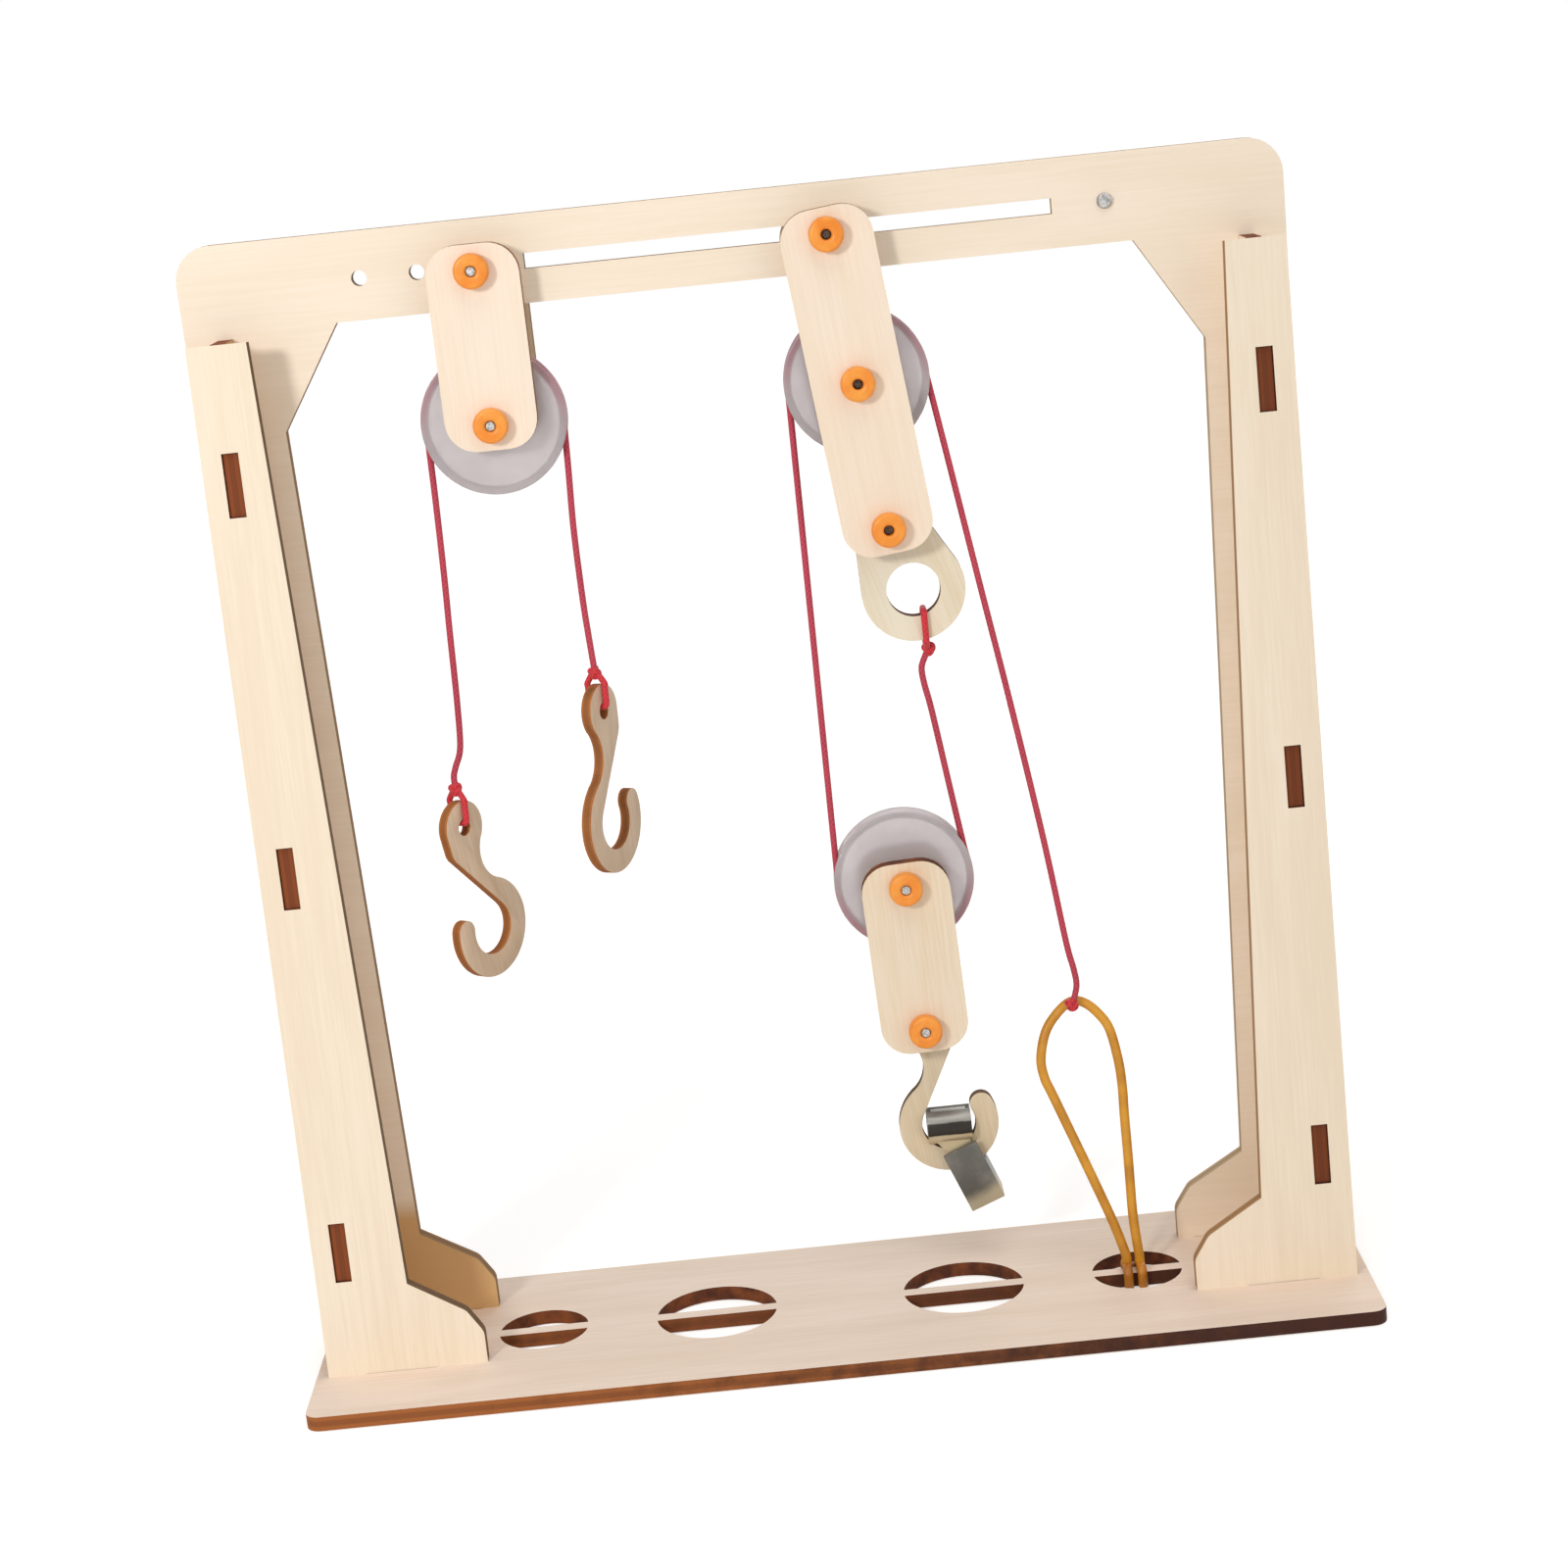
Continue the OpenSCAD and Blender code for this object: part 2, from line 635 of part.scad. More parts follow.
module trolley_axle() { color("#6f5b4c") axle_at(centre_top, axle_l - 2.4); }
module trolley_caps() { color("#f59a2e") caps_at(centre_top); }
centre_holes = [0, centre_pitch, 2 * centre_pitch];
module centre_plate_front() {
    color("#f1dfc6") side_plate(centre_top, centre_lean, centre_holes, plate_front_y);
}
module centre_plate_rear() {
    color("#e3cfae") side_plate(centre_top, centre_lean, centre_holes, plate_rear_y);
}
module centre_pulley_axle() { color("#6f5b4c") axle_at(centre_mid, axle_l - 2.4); }
module eye_plate_axle() { color("#6f5b4c") axle_at(centre_low, axle_l - 2.4); }
module centre_caps() { color("#f59a2e") { caps_at(centre_mid); caps_at(centre_low); } }
module centre_pulley() { color("#cfc8c8") pulley_at(centre_mid); }

module eye_plate() {
    color("#eddfc6") translate([centre_low[0], 0, centre_low[1]]) stand(frame_y)
        rotate(eye_plate_lean) difference() {
            link(6.8, ring_r, ring_drop);
            circle(d = axle_d + 2 * running, $fn = 32);
            translate([0, -ring_drop]) circle(d = ring_hole_d);
        }
}

module eye_plate_knot() {
    at_x = ring_centre[0] + 1.6;
    ring_bottom = ring_centre[1] - ring_r + 0.1;
    color("#d3202e") {
        knot(eye_knot);
        translate([at_x, mid_y, 0])
            wall_loop(ring_centre[1] - ring_hole_d / 2 + 0.25, ring_bottom, ply, ring_bottom - eye_knot[2], 0.8);
    }
}

module lift_cord_top() { color("#c23a50") cord_arc(centre_mid, tail_angle, 180 - tail_angle); }
module lift_cord_left() { color("#c23a50") tube(left_route, cord_d); }
module lift_cord_right() { color("#c23a50") tube(right_route, cord_d); }
module lift_cord_bottom() { color("#c23a50") cord_arc(movable_top, 180, 180 + right_angle); }
module tail_cord() { color("#c23a50") tube(tail_route, cord_d); }

module movable_plate_front() {
    color("#ecd6b6") side_plate(movable_top, movable_lean, [0, movable_pitch], plate_front_y);
}
module movable_plate_rear() {
    color("#e3cfae") side_plate(movable_top, movable_lean, [0, movable_pitch], plate_rear_y);
}
module movable_pulley_axle() { color("#a8a6a4") axle_at(movable_top); }
module load_hook_axle() { color("#a8a6a4") axle_at(movable_low); }
module movable_caps() { color("#f59a2e") { caps_at(movable_top); caps_at(movable_low); } }
module movable_pulley() { color("#cfc8c8") pulley_at(movable_top); }
module load_hook() {
    color("#dcc9ab") hook_at(load_eye, 0, load_hook_lean, false);
}

// The weight: a barrel lies in the hook's bend, with a cheek on each side of the hook
cheek_in = hook_t / 2 + 0.25;  // from the middle plane to a cheek's inner face
cheek_out = cheek_in + 1.4;
bend_in = hook_r - hook_w / 2;
bend_out = hook_r + hook_w / 2;
barrel_r = 0.62 * bend_in;
barrel_half = 0.66 * bend_in;
barrel_sink = 0.5;             // of the barrel, below the middle of the bend
block_tilt = 21.5;             // of the block, from plumb
block_top = 5.2;               // from the middle of the bend to the block's top edge

module weight_clip() {
    cheek_half = barrel_half + 0.9;
    color("#b9b7b2") translate([bend_centre[0], mid_y, bend_centre[1]]) {
        difference() {
            union() {
                translate([0, 0, -barrel_sink])
                    rotate([0, 90, 0]) cylinder(r = barrel_r, h = 2 * barrel_half, center = true);
                for (s = [-1, 1])
                    intersection() {
                        translate([0, 0, -barrel_sink])
                            rotate([0, 90, 0])
                                cylinder(r = barrel_r + 0.4, h = 2 * cheek_half, center = true);
                        translate([-10, s > 0 ? cheek_in : -cheek_in - 4, -10]) cube([20, 4, 20]);
                    }
            }
            for (s = [-1, 1])
                translate([s > 0 ? barrel_half : -barrel_half - 3, -cheek_in, -10]) cube([3, 2 * cheek_in, 20]);
        }
        for (s = [-1, 1])
            translate([0, s > 0 ? cheek_out : -cheek_in, 0]) rotate([90, 0, 0])
                linear_extrude(cheek_out - cheek_in)
                    polygon([[-cheek_half, 0], [cheek_half, 0], [cheek_half - 0.4, -3],
                        [3.6, -7.5], [1.5, -7.5], [-1.2, -5.6], [-cheek_half + 0.6, -2]]);
    }
}

module weight_block() {
    front = cheek_out + seat;
    depth = 2 * (front + 0.9);
    color("#5f5d58") translate([bend_centre[0], mid_y, bend_centre[1]]) rotate([0, -block_tilt, 0])
        difference() {
            translate([-weight_w / 2 - 0.3, -depth / 2, -block_top - weight_l])
                cube([weight_w, depth, weight_l]);
            rotate([0, block_tilt, 0]) rotate([90, 0, 0])
                cylinder(r = bend_out + 0.4, h = 2 * front, center = true);
        }
}

module band_knot() { color("#d3202e") knot(band_knot_at); }
module rubber_band() { color("#d8962b") tube(band_route, band_d); }

// The band's two turns over the bar of the right-hand hole, joined behind it by the bight
module band_hitch() {
    front = bar_front_y - hitch_off;
    rear = bar_rear_y + hitch_off;
    slant = 0.7 * hitch_off;
    color("#c8781a") {
        for (x = hitch_x)
            tube([
                [x, front, 0.4], [x, front, base_top],
                [x, bar_front_y - slant, base_top + slant], [x, bar_front_y, hitch_top],
                [x, bar_rear_y, hitch_top], [x, bar_rear_y + slant, base_top + slant],
                [x, rear, base_top], [x, rear, 0.4]
            ], band_d, 8, [1, 0.01, 0.02]);
        tube([[hitch_x[0] - 0.3, rear + 0.3, 2.3], [hitch_x[1] + 0.3, rear + 0.3, 2.3]], 0.9 * band_d);
    }
}

base_plate();
main_frame();
left_post();
right_post();
left_web();
right_web();
beam_peg();
left_plate_front();
left_plate_rear();
left_beam_axle();
left_pulley_axle();
left_caps();
left_pulley();
left_cord_top();
long_cord();
short_cord();
long_cord_knot();
short_cord_knot();
long_hook();
long_hook_loop();
short_hook();
short_hook_loop();
trolley_axle();
trolley_caps();
centre_plate_front();
centre_plate_rear();
centre_pulley_axle();
eye_plate_axle();
centre_caps();
centre_pulley();
eye_plate();
eye_plate_knot();
lift_cord_top();
lift_cord_left();
lift_cord_right();
lift_cord_bottom();
tail_cord();
movable_plate_front();
movable_plate_rear();
movable_pulley_axle();
load_hook_axle();
movable_caps();
movable_pulley();
load_hook();
weight_clip();
weight_block();
band_knot();
rubber_band();
band_hitch();
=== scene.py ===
# %% [markdown]
# # A bench demonstrator of pulleys
#
# This lesson dresses a laser-cut plywood pulley demonstrator: a frame on a base plate, three
# blocks with translucent pulleys, red cord, wooden hooks, a small steel weight and a rubber band.
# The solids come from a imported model, already in place and to size, in metres. What a solid
# already shows well keeps its mesh and only gets a material. What looks better with more detail,
# such as cord, caps and pulleys, is made here and stands in for its solid.

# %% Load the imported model
import bmesh
import bpy
import math
from mathutils import Matrix, Vector


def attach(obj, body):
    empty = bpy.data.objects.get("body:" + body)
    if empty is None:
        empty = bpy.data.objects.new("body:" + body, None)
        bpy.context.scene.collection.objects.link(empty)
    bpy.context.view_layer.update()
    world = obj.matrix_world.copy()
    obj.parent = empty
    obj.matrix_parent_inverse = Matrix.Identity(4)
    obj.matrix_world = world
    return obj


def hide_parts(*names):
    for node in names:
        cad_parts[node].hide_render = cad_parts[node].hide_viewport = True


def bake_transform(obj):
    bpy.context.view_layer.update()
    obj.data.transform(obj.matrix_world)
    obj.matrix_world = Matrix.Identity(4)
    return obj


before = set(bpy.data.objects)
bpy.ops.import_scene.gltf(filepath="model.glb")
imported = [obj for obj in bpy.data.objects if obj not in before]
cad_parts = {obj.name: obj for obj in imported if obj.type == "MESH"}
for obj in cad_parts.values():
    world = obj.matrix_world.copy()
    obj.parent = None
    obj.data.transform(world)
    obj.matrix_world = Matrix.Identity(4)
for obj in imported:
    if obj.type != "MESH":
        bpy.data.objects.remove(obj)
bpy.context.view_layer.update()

# %% [markdown]
# ## The camera
#
# A camera that was fitted to straight edges of the real frame is written down as three angles, a
# place and a focal length. The three angles give the directions of the picture's right and up
# edges, and those two and the view direction are the columns of the camera's matrix. A lens shift
# moves the picture without turning the camera, so upright edges keep their perspective.

# %% Place the camera
YAW, PITCH, ROLL = (math.radians(a) for a in (-0.554, 14.917, 5.967))


def place_camera(place, lens_mm, shift):
    """A camera at place that looks down by PITCH and is rolled by ROLL."""
    ahead = Vector((math.sin(YAW) * math.cos(PITCH), math.cos(YAW) * math.cos(PITCH), -math.sin(PITCH)))
    level = Vector((math.cos(YAW), -math.sin(YAW), 0))
    down = ahead.cross(level)
    right = math.cos(ROLL) * level + math.sin(ROLL) * down
    below = -math.sin(ROLL) * level + math.cos(ROLL) * down
    data = bpy.data.cameras.new("camera")
    data.sensor_width = 36
    data.lens = lens_mm
    data.shift_x, data.shift_y = shift
    data.clip_start, data.clip_end = 0.01, 20
    camera = bpy.data.objects.new("camera", data)
    turn = Matrix((right, -below, -ahead)).transposed().to_4x4()
    camera.matrix_world = Matrix.Translation(place) @ turn
    bpy.context.scene.collection.objects.link(camera)
    bpy.context.scene.camera = camera
    return camera


camera = place_camera((0.006844, -0.551024, 0.249972), 66.081, (-0.00976, 0.03325))
print("camera looks along", [round(c, 3) for c in camera.matrix_world.to_quaternion() @ Vector((0, 0, -1))])

# %% [markdown]
# ## Colours and nodes
#
# Colours are easiest to read as the hex values of a paint chart, but a shader works in linear
# light. One function does the sum. A second one adds any shader or geometry node with its
# settings and its links, so that the trees below read as lists of what each node does.

# %% Helpers for colours and node trees


def linear(hex_colour):
    """An sRGB hex colour as the linear RGBA that a shader works in."""
    parts = [int(hex_colour[i:i + 2], 16) / 255 for i in (1, 3, 5)]
    return [c / 12.92 if c <= 0.04045 else ((c + 0.055) / 1.055) ** 2.4 for c in parts] + [1.0]


def add(tree, kind, links=(), **settings):
    """Adds a node. links are (socket, value or other socket) pairs."""
    node = tree.nodes.new(kind)
    for name, value in settings.items():
        setattr(node, name, value)
    for socket, value in links:
        if isinstance(value, bpy.types.NodeSocket):
            tree.links.new(value, node.inputs[socket])
        else:
            node.inputs[socket].default_value = value
    return node


def new_material(name):
    """A material with an empty tree but for its output, and a Principled shader on it."""
    material = bpy.data.materials.new(name)
    material.use_nodes = True
    tree = material.node_tree
    tree.nodes.clear()
    shader = add(tree, "ShaderNodeBsdfPrincipled")
    add(tree, "ShaderNodeOutputMaterial", [("Surface", shader.outputs[0])])
    return material, tree, shader


def maths(tree, operation, *values):
    """A Math node's result."""
    return add(tree, "ShaderNodeMath", list(enumerate(values)), operation=operation).outputs[0]


def blend_colours(tree, factor, low, high):
    """A colour between low and high."""
    node = add(tree, "ShaderNodeMix", [("Factor", factor)], data_type="RGBA")
    for socket, value in ((node.inputs[6], low), (node.inputs[7], high)):
        if isinstance(value, bpy.types.NodeSocket):
            tree.links.new(value, socket)
        else:
            socket.default_value = value
    return node.outputs[2]


def between(tree, value, low, high):
    """0 below low, 1 above high, smooth in between."""
    node = add(tree, "ShaderNodeMapRange", [(0, value), (1, low), (2, high)], interpolation_type="SMOOTHSTEP")
    return node.outputs[0]


print("linear cream:", [round(c, 3) for c in linear("#F4E4C8")])

# %% [markdown]
# ## Braided cord
#
# The cord is a soft polyester braid, 1.3 mm thick. A braid that thin shows as small diamonds and
# a matt, slightly fuzzy shine. The diamonds are two sets of diagonal waves that cross, drawn on
# the cord's own map: one direction runs round the cord and the other along it, in millimetres.

# %% Materials for the cord and its knots
BRAID_PITCH = 1.1    # mm along the cord from one diamond to the next
BRAID_STRANDS = 4    # diamonds round the cord; the real braid has more, too fine to show


def braided_polyester(name, light, dark):
    """Dyed polyester braid: soft sheen, no gloss, darker between the strands."""
    material, tree, shader = new_material(name)
    uv = add(tree, "ShaderNodeUVMap", uv_map="cord").outputs[0]
    axes = add(tree, "ShaderNodeSeparateXYZ", [(0, uv)])
    turns = maths(tree, "MULTIPLY", axes.outputs[0], 2 * math.pi * BRAID_STRANDS)
    along = maths(tree, "MULTIPLY", axes.outputs[1], 2 * math.pi / BRAID_PITCH)
    one = maths(tree, "SINE", maths(tree, "ADD", turns, along))
    other = maths(tree, "SINE", maths(tree, "SUBTRACT", turns, along))
    strands = maths(tree, "MULTIPLY_ADD", maths(tree, "MAXIMUM", one, other), 0.5, 0.5)
    place = add(tree, "ShaderNodeTexCoord").outputs["Object"]
    worn = add(tree, "ShaderNodeTexNoise", [("Vector", place), ("Scale", 90.0), ("Detail", 3.0)]).outputs[0]
    shade = maths(tree, "MULTIPLY_ADD", worn, 0.5, maths(tree, "MULTIPLY", strands, 0.6))
    colour = blend_colours(tree, between(tree, shade, 0.1, 0.95), linear(dark), linear(light))
    tree.links.new(colour, shader.inputs["Base Color"])
    bump = add(tree, "ShaderNodeBump", [("Height", strands), ("Strength", 0.5), ("Distance", 0.00012)])
    tree.links.new(bump.outputs[0], shader.inputs["Normal"])
    shader.inputs["Roughness"].default_value = 0.7
    shader.inputs["IOR"].default_value = 1.54
    shader.inputs["Sheen Weight"].default_value = 0.25
    shader.inputs["Sheen Roughness"].default_value = 0.4
    return material


CORD_RED = braided_polyester("braided polyester, red", "#C83E52", "#8E2032")
KNOT_RED = braided_polyester("braided polyester, tight red", "#DC2A36", "#9A1420")
print("materials:", CORD_RED.name, "|", KNOT_RED.name)

# %% [markdown]
# ## Sweeping a cord along its route
#
# A cord follows a path, which is what Geometry Nodes do well. The route's few points become a
# smooth curve, and a node tree sweeps a circle along it. On its way the tree writes down how far
# along and how far round each point is. Those two numbers become the map that the braid is
# drawn on. The result is turned into a plain mesh, and the modifier goes.

# %% The node tree that sweeps a round cord


def socket_on(tree, name, kind, value=None, out=False):
    """A named input or output of a node group."""
    socket = tree.interface.new_socket(name, in_out="OUTPUT" if out else "INPUT", socket_type=kind)
    if value is not None:
        socket.default_value = value
    return socket


def sweep_tree():
    """Curve in, tube out, with the inputs Diameter, Sides and Finish."""
    tree = bpy.data.node_groups.new("sweep a round cord", "GeometryNodeTree")
    socket_on(tree, "Route", "NodeSocketGeometry")
    socket_on(tree, "Diameter", "NodeSocketFloat", 0.0013)
    socket_on(tree, "Sides", "NodeSocketInt", 12)
    socket_on(tree, "Finish", "NodeSocketMaterial")
    socket_on(tree, "Tube", "NodeSocketGeometry", out=True)
    given = add(tree, "NodeGroupInput")
    step = add(tree, "GeometryNodeSplineParameter")
    route = add(tree, "GeometryNodeStoreNamedAttribute", [
        ("Geometry", given.outputs["Route"]), ("Name", "along"), ("Value", step.outputs["Length"]),
    ], data_type="FLOAT", domain="POINT")
    radius = add(tree, "ShaderNodeMath", [(0, given.outputs["Diameter"]), (1, 0.5)], operation="MULTIPLY")
    circle = add(tree, "GeometryNodeCurvePrimitiveCircle", [
        ("Resolution", given.outputs["Sides"]), ("Radius", radius.outputs[0]),
    ])
    part = add(tree, "GeometryNodeSplineParameter")
    profile = add(tree, "GeometryNodeStoreNamedAttribute", [
        ("Geometry", circle.outputs[0]), ("Name", "round"), ("Value", part.outputs["Factor"]),
    ], data_type="FLOAT", domain="POINT")
    tube = add(tree, "GeometryNodeCurveToMesh", [
        (0, route.outputs[0]), ("Profile Curve", profile.outputs[0]), ("Fill Caps", True),
    ])
    smooth = add(tree, "GeometryNodeSetShadeSmooth", [("Geometry", tube.outputs[0])])
    real = add(tree, "GeometryNodeRealizeInstances", [("Geometry", smooth.outputs[0])])
    painted = add(tree, "GeometryNodeSetMaterial", [
        ("Geometry", real.outputs[0]), ("Material", given.outputs["Finish"]),
    ])
    add(tree, "NodeGroupOutput", [("Tube", painted.outputs[0])])
    return tree


SWEEP = sweep_tree()
print("tree:", SWEEP.name, [item.name for item in SWEEP.interface.items_tree])

# %% From a modifier to a plain mesh


def run_tree(source, tree, name, **inputs):
    """Runs a node tree on source and returns its result as a plain mesh object."""
    modifier = source.modifiers.new("nodes", "NODES")
    modifier.node_group = tree
    for item in tree.interface.items_tree:
        if item.name in inputs:
            modifier[item.identifier] = inputs[item.name]
    bpy.context.view_layer.update()
    seen = source.evaluated_get(bpy.context.evaluated_depsgraph_get())
    mesh = bpy.data.meshes.new_from_object(seen)
    mesh.name = name
    made = bpy.data.objects.new(name, mesh)
    bpy.context.scene.collection.objects.link(made)
    source.modifiers.remove(modifier)
    bpy.data.objects.remove(source)
    return made


def map_the_cord(piece):
    """Turns the two numbers on the points into the piece's own map, closed at its seam."""
    mesh = piece.data
    around = [d.value for d in mesh.attributes["round"].data]
    along = [d.value for d in mesh.attributes["along"].data]
    layer = mesh.uv_layers.new(name="cord")
    for face in mesh.polygons:
        places = [mesh.loops[i].vertex_index for i in face.loop_indices]
        corners = [(around[place], along[place]) for place in places]
        wraps = max(c[0] for c in corners) - min(c[0] for c in corners) > 0.5
        for i, (u, v) in zip(face.loop_indices, corners):
            layer.data[i].uv = (u + 1 if wraps and u < 0.5 else u, v * 1000)
    mesh.attributes.remove(mesh.attributes["round"])
    mesh.attributes.remove(mesh.attributes["along"])


print("helpers ready")

# %% Smooth routes
CORD = 0.0013
RUN_R = 0.0135       # of the cord's own line in a pulley's groove
MID_Y = 0.0165       # the plane that pulleys, cords and hooks share


def metres(points):
    """Points in millimetres as vectors in metres."""
    return [Vector(p) / 1000 for p in points]


def smooth_route(points, step=0.0008, closed=False):
    """A smooth line through a few points, at even small steps. It goes through every point."""
    n = len(points)
    dense = []
    for i in range(n if closed else n - 1):
        a, b = points[i], points[(i + 1) % n]
        before = points[i - 1] if closed or i > 0 else a + (a - b)
        after = points[(i + 2) % n] if closed or i + 2 < n else b + (b - a)
        ta = ((a - before).length * (b - a).length) ** 0.5
        tb = ((after - b).length * (b - a).length) ** 0.5
        go = (b - before).normalized() * ta
        come = (after - a).normalized() * tb
        k = max(2, math.ceil((b - a).length / step))
        for j in range(k):
            t = j / k
            dense.append(
                a * (2 * t**3 - 3 * t**2 + 1) + go * (t**3 - 2 * t**2 + t)
                + b * (3 * t**2 - 2 * t**3) + come * (t**3 - t**2)
            )
    if not closed:
        dense.append(points[-1].copy())
    return dense


def arc_in_groove(centre, start, sweep, steps=60):
    """The cord's line round a pulley, from the angle start, in degrees from +X towards +Z."""
    out = []
    for i in range(steps + 1):
        a = math.radians(start + sweep * i / steps)
        out.append(Vector((centre[0] + RUN_R * math.cos(a), MID_Y, centre[1] + RUN_R * math.sin(a))))
    return out


def length_of(line):
    return sum((b - a).length for a, b in zip(line, line[1:]))


def cord_piece(name, line, finish, diameter=CORD, sides=12, closed=False):
    """A tube along a line, as a mesh with the map that its material reads."""
    data = bpy.data.curves.new(name + "_route", "CURVE")
    data.dimensions = "3D"
    spline = data.splines.new("POLY")
    spline.points.add(len(line) - 1)
    for point, place in zip(spline.points, line):
        point.co = (*place, 1)
    spline.use_cyclic_u = closed
    source = bpy.data.objects.new(name + "_route", data)
    bpy.context.scene.collection.objects.link(source)
    piece = run_tree(source, SWEEP, name, Diameter=diameter, Sides=sides, Finish=finish)
    map_the_cord(piece)
    return piece


def below(place, pitch, lean):
    """The point a distance below another, leaning to the right by lean degrees, as (x, z) in metres."""
    a = math.radians(lean)
    return (place[0] + pitch * math.sin(a), place[1] - pitch * math.cos(a))


LEFT_TOP = (-0.0496, 0.21855)
LEFT_LOW = below(LEFT_TOP, 0.0295, 0)
CENTRE_TOP = (0.0184, 0.21855)
CENTRE_LEAN, MOVABLE_LEAN = 6.6, 2.4
CENTRE_MID = below(CENTRE_TOP, 0.029, CENTRE_LEAN)
CENTRE_LOW = below(CENTRE_TOP, 0.058, CENTRE_LEAN)
MOVABLE_TOP = (CENTRE_MID[0], 0.0879)
MOVABLE_LOW = below(MOVABLE_TOP, 0.0306, MOVABLE_LEAN)
print("axles:", [tuple(round(c * 1000, 1) for c in p) for p in (LEFT_LOW, CENTRE_MID, MOVABLE_LOW)])

# %% [markdown]
# ## The two hanging ends and the lift cord
#
# One cord lies over the left pulley with a hook on each end. The second starts at the eye plate,
# runs down and round the movable pulley, up and over the centre pulley, and ends in a knot on
# the rubber band. Each stretch is a piece of its own, because the stretches move with different
# parts. They meet where the cord leaves a pulley, so no joint shows.

# %% The cord over the left pulley
KNOT = 0.0032
LONG_EYE, SHORT_EYE = (-0.067, 0.1079), (-0.0361, 0.129)
KNOT_RISE = 0.0055 + 0.0009 + KNOT / 2
IN_KNOT = KNOT * 0.3      # a cord runs this close to the middle of its knot

left_over = cord_piece("left_cord_over_pulley", arc_in_groove(LEFT_LOW, 0, 180), CORD_RED)
long_line = smooth_route(metres([
    (-63.1, 16.5, 189.05), (-63.2, 16.5, 175), (-63.5, 16.5, 160), (-63.9, 16.5, 148), (-64.3, 16.5, 134),
    (-64.9, 16.5, 124.5), (-66.3, 16.5, 120.6), (-66.95, 16.5, 118.7),
    (-67, 16.5, (LONG_EYE[1] + KNOT_RISE + IN_KNOT) * 1000),
]))
short_line = smooth_route(metres([
    (-36.1, 16.5, 189.05), (-36.4, 16.5, 178), (-36.8, 16.5, 166), (-36.7, 16.5, 152), (-36.4, 16.5, 144),
    (-36.1, 16.5, (SHORT_EYE[1] + KNOT_RISE + IN_KNOT) * 1000),
]))
long_drop = cord_piece("long_drop_cord", long_line, CORD_RED)
short_drop = cord_piece("short_drop_cord", short_line, CORD_RED)
print("drops, mm:", round(length_of(long_line) * 1000, 1), round(length_of(short_line) * 1000, 1))

# %% The lift cord
TAIL_ANGLE, RIGHT_ANGLE = 9.1, 7.9


def leaves(centre, angle):
    """Where the cord leaves a pulley at an angle from level."""
    a = math.radians(angle)
    return Vector((centre[0] + RUN_R * math.cos(a), MID_Y, centre[1] + RUN_R * math.sin(a)))


run_x = (CENTRE_MID[0] - RUN_R) * 1000
left_run = smooth_route(metres([
    (run_x, 16.5, CENTRE_MID[1] * 1000), (run_x, 16.5, 155), (run_x, 16.5, 120), (run_x, 16.5, 87.9),
]))
right_run = smooth_route([leaves(MOVABLE_TOP, RIGHT_ANGLE)] + metres([
    (33, 16.5, 104.6), (30.6, 16.5, 122), (29.6, 16.5, 127.6), (29.3, 16.5, 130.6), (29.6, 16.5, 132),
    (30.5, 16.5, 133.9),
]))
tail = smooth_route([leaves(CENTRE_MID, TAIL_ANGLE)] + metres([
    (38.3, 15.4, 172), (42.3, 13.9, 147), (46.2, 12.4, 123), (50.4, 10.4, 95), (53.2, 8.6, 73),
    (54.2, 7.7, 67.5), (54.5, 7.1, 64.2), (53.7, 6.7, 61.2),
]))
split = min(range(len(tail)), key=lambda i: abs(tail[i].z - 0.123))
over_line = arc_in_groove(CENTRE_MID, TAIL_ANGLE, 180 - TAIL_ANGLE)
under_line = arc_in_groove(MOVABLE_TOP, 180, 180 + RIGHT_ANGLE)
lift_over = cord_piece("lift_cord_over_pulley", over_line, CORD_RED)
lift_under = cord_piece("lift_cord_under_pulley", under_line, CORD_RED)
lift_left = cord_piece("lift_cord_left_run", left_run, CORD_RED)
lift_right = cord_piece("lift_cord_right_run", right_run, CORD_RED)
tail_high = cord_piece("tail_cord_upper", tail[:split + 1], CORD_RED)
tail_low = cord_piece("tail_cord_lower", tail[split:], CORD_RED)
print("tail, mm:", round(length_of(tail) * 1000, 1), "split at", [round(c * 1000) for c in tail[split]])

# %% [markdown]
# ## Knots and loops
#
# A tight overhand knot in thin cord is a small lump in which three turns of cord lie over each
# other. A trefoil, the plainest closed knot, gives just that when its tube nearly fills it. Each
# loop is a closed route: from its knot down both faces of the wood, and through the eye.

# %% Knots


def knot_piece(name, place, turn=0.0, size=KNOT, finish=None):
    """A tight knot: a trefoil whose tube nearly fills it, turned about the vertical."""
    line = []
    spin = Matrix.Rotation(math.radians(turn), 3, "Z") @ Matrix.Rotation(math.radians(62), 3, "X")
    for i in range(72):
        t = 2 * math.pi * i / 72
        shape = Vector((
            math.sin(t) + 2 * math.sin(2 * t), math.cos(t) - 2 * math.cos(2 * t), -1.5 * math.sin(3 * t)))
        line.append(Vector(place) + spin @ (shape * (size * 0.088)))
    return cord_piece(name, line, finish or KNOT_RED, diameter=size * 0.45, sides=12, closed=True)


EYE_KNOT, BAND_KNOT = (0.0311, MID_Y, 0.1348), (0.0532, 0.0066, 0.0603)
long_knot = knot_piece("long_cord_knot_tied", (LONG_EYE[0], MID_Y, LONG_EYE[1] + KNOT_RISE), 20)
short_knot = knot_piece("short_cord_knot_tied", (SHORT_EYE[0], MID_Y, SHORT_EYE[1] + KNOT_RISE), 75)
band_knot = knot_piece("band_knot_tied", BAND_KNOT, 40)
eye_knot = knot_piece("eye_plate_knot_tied", EYE_KNOT, 5)
print("knots:", [o.name for o in (long_knot, short_knot, band_knot, eye_knot)])

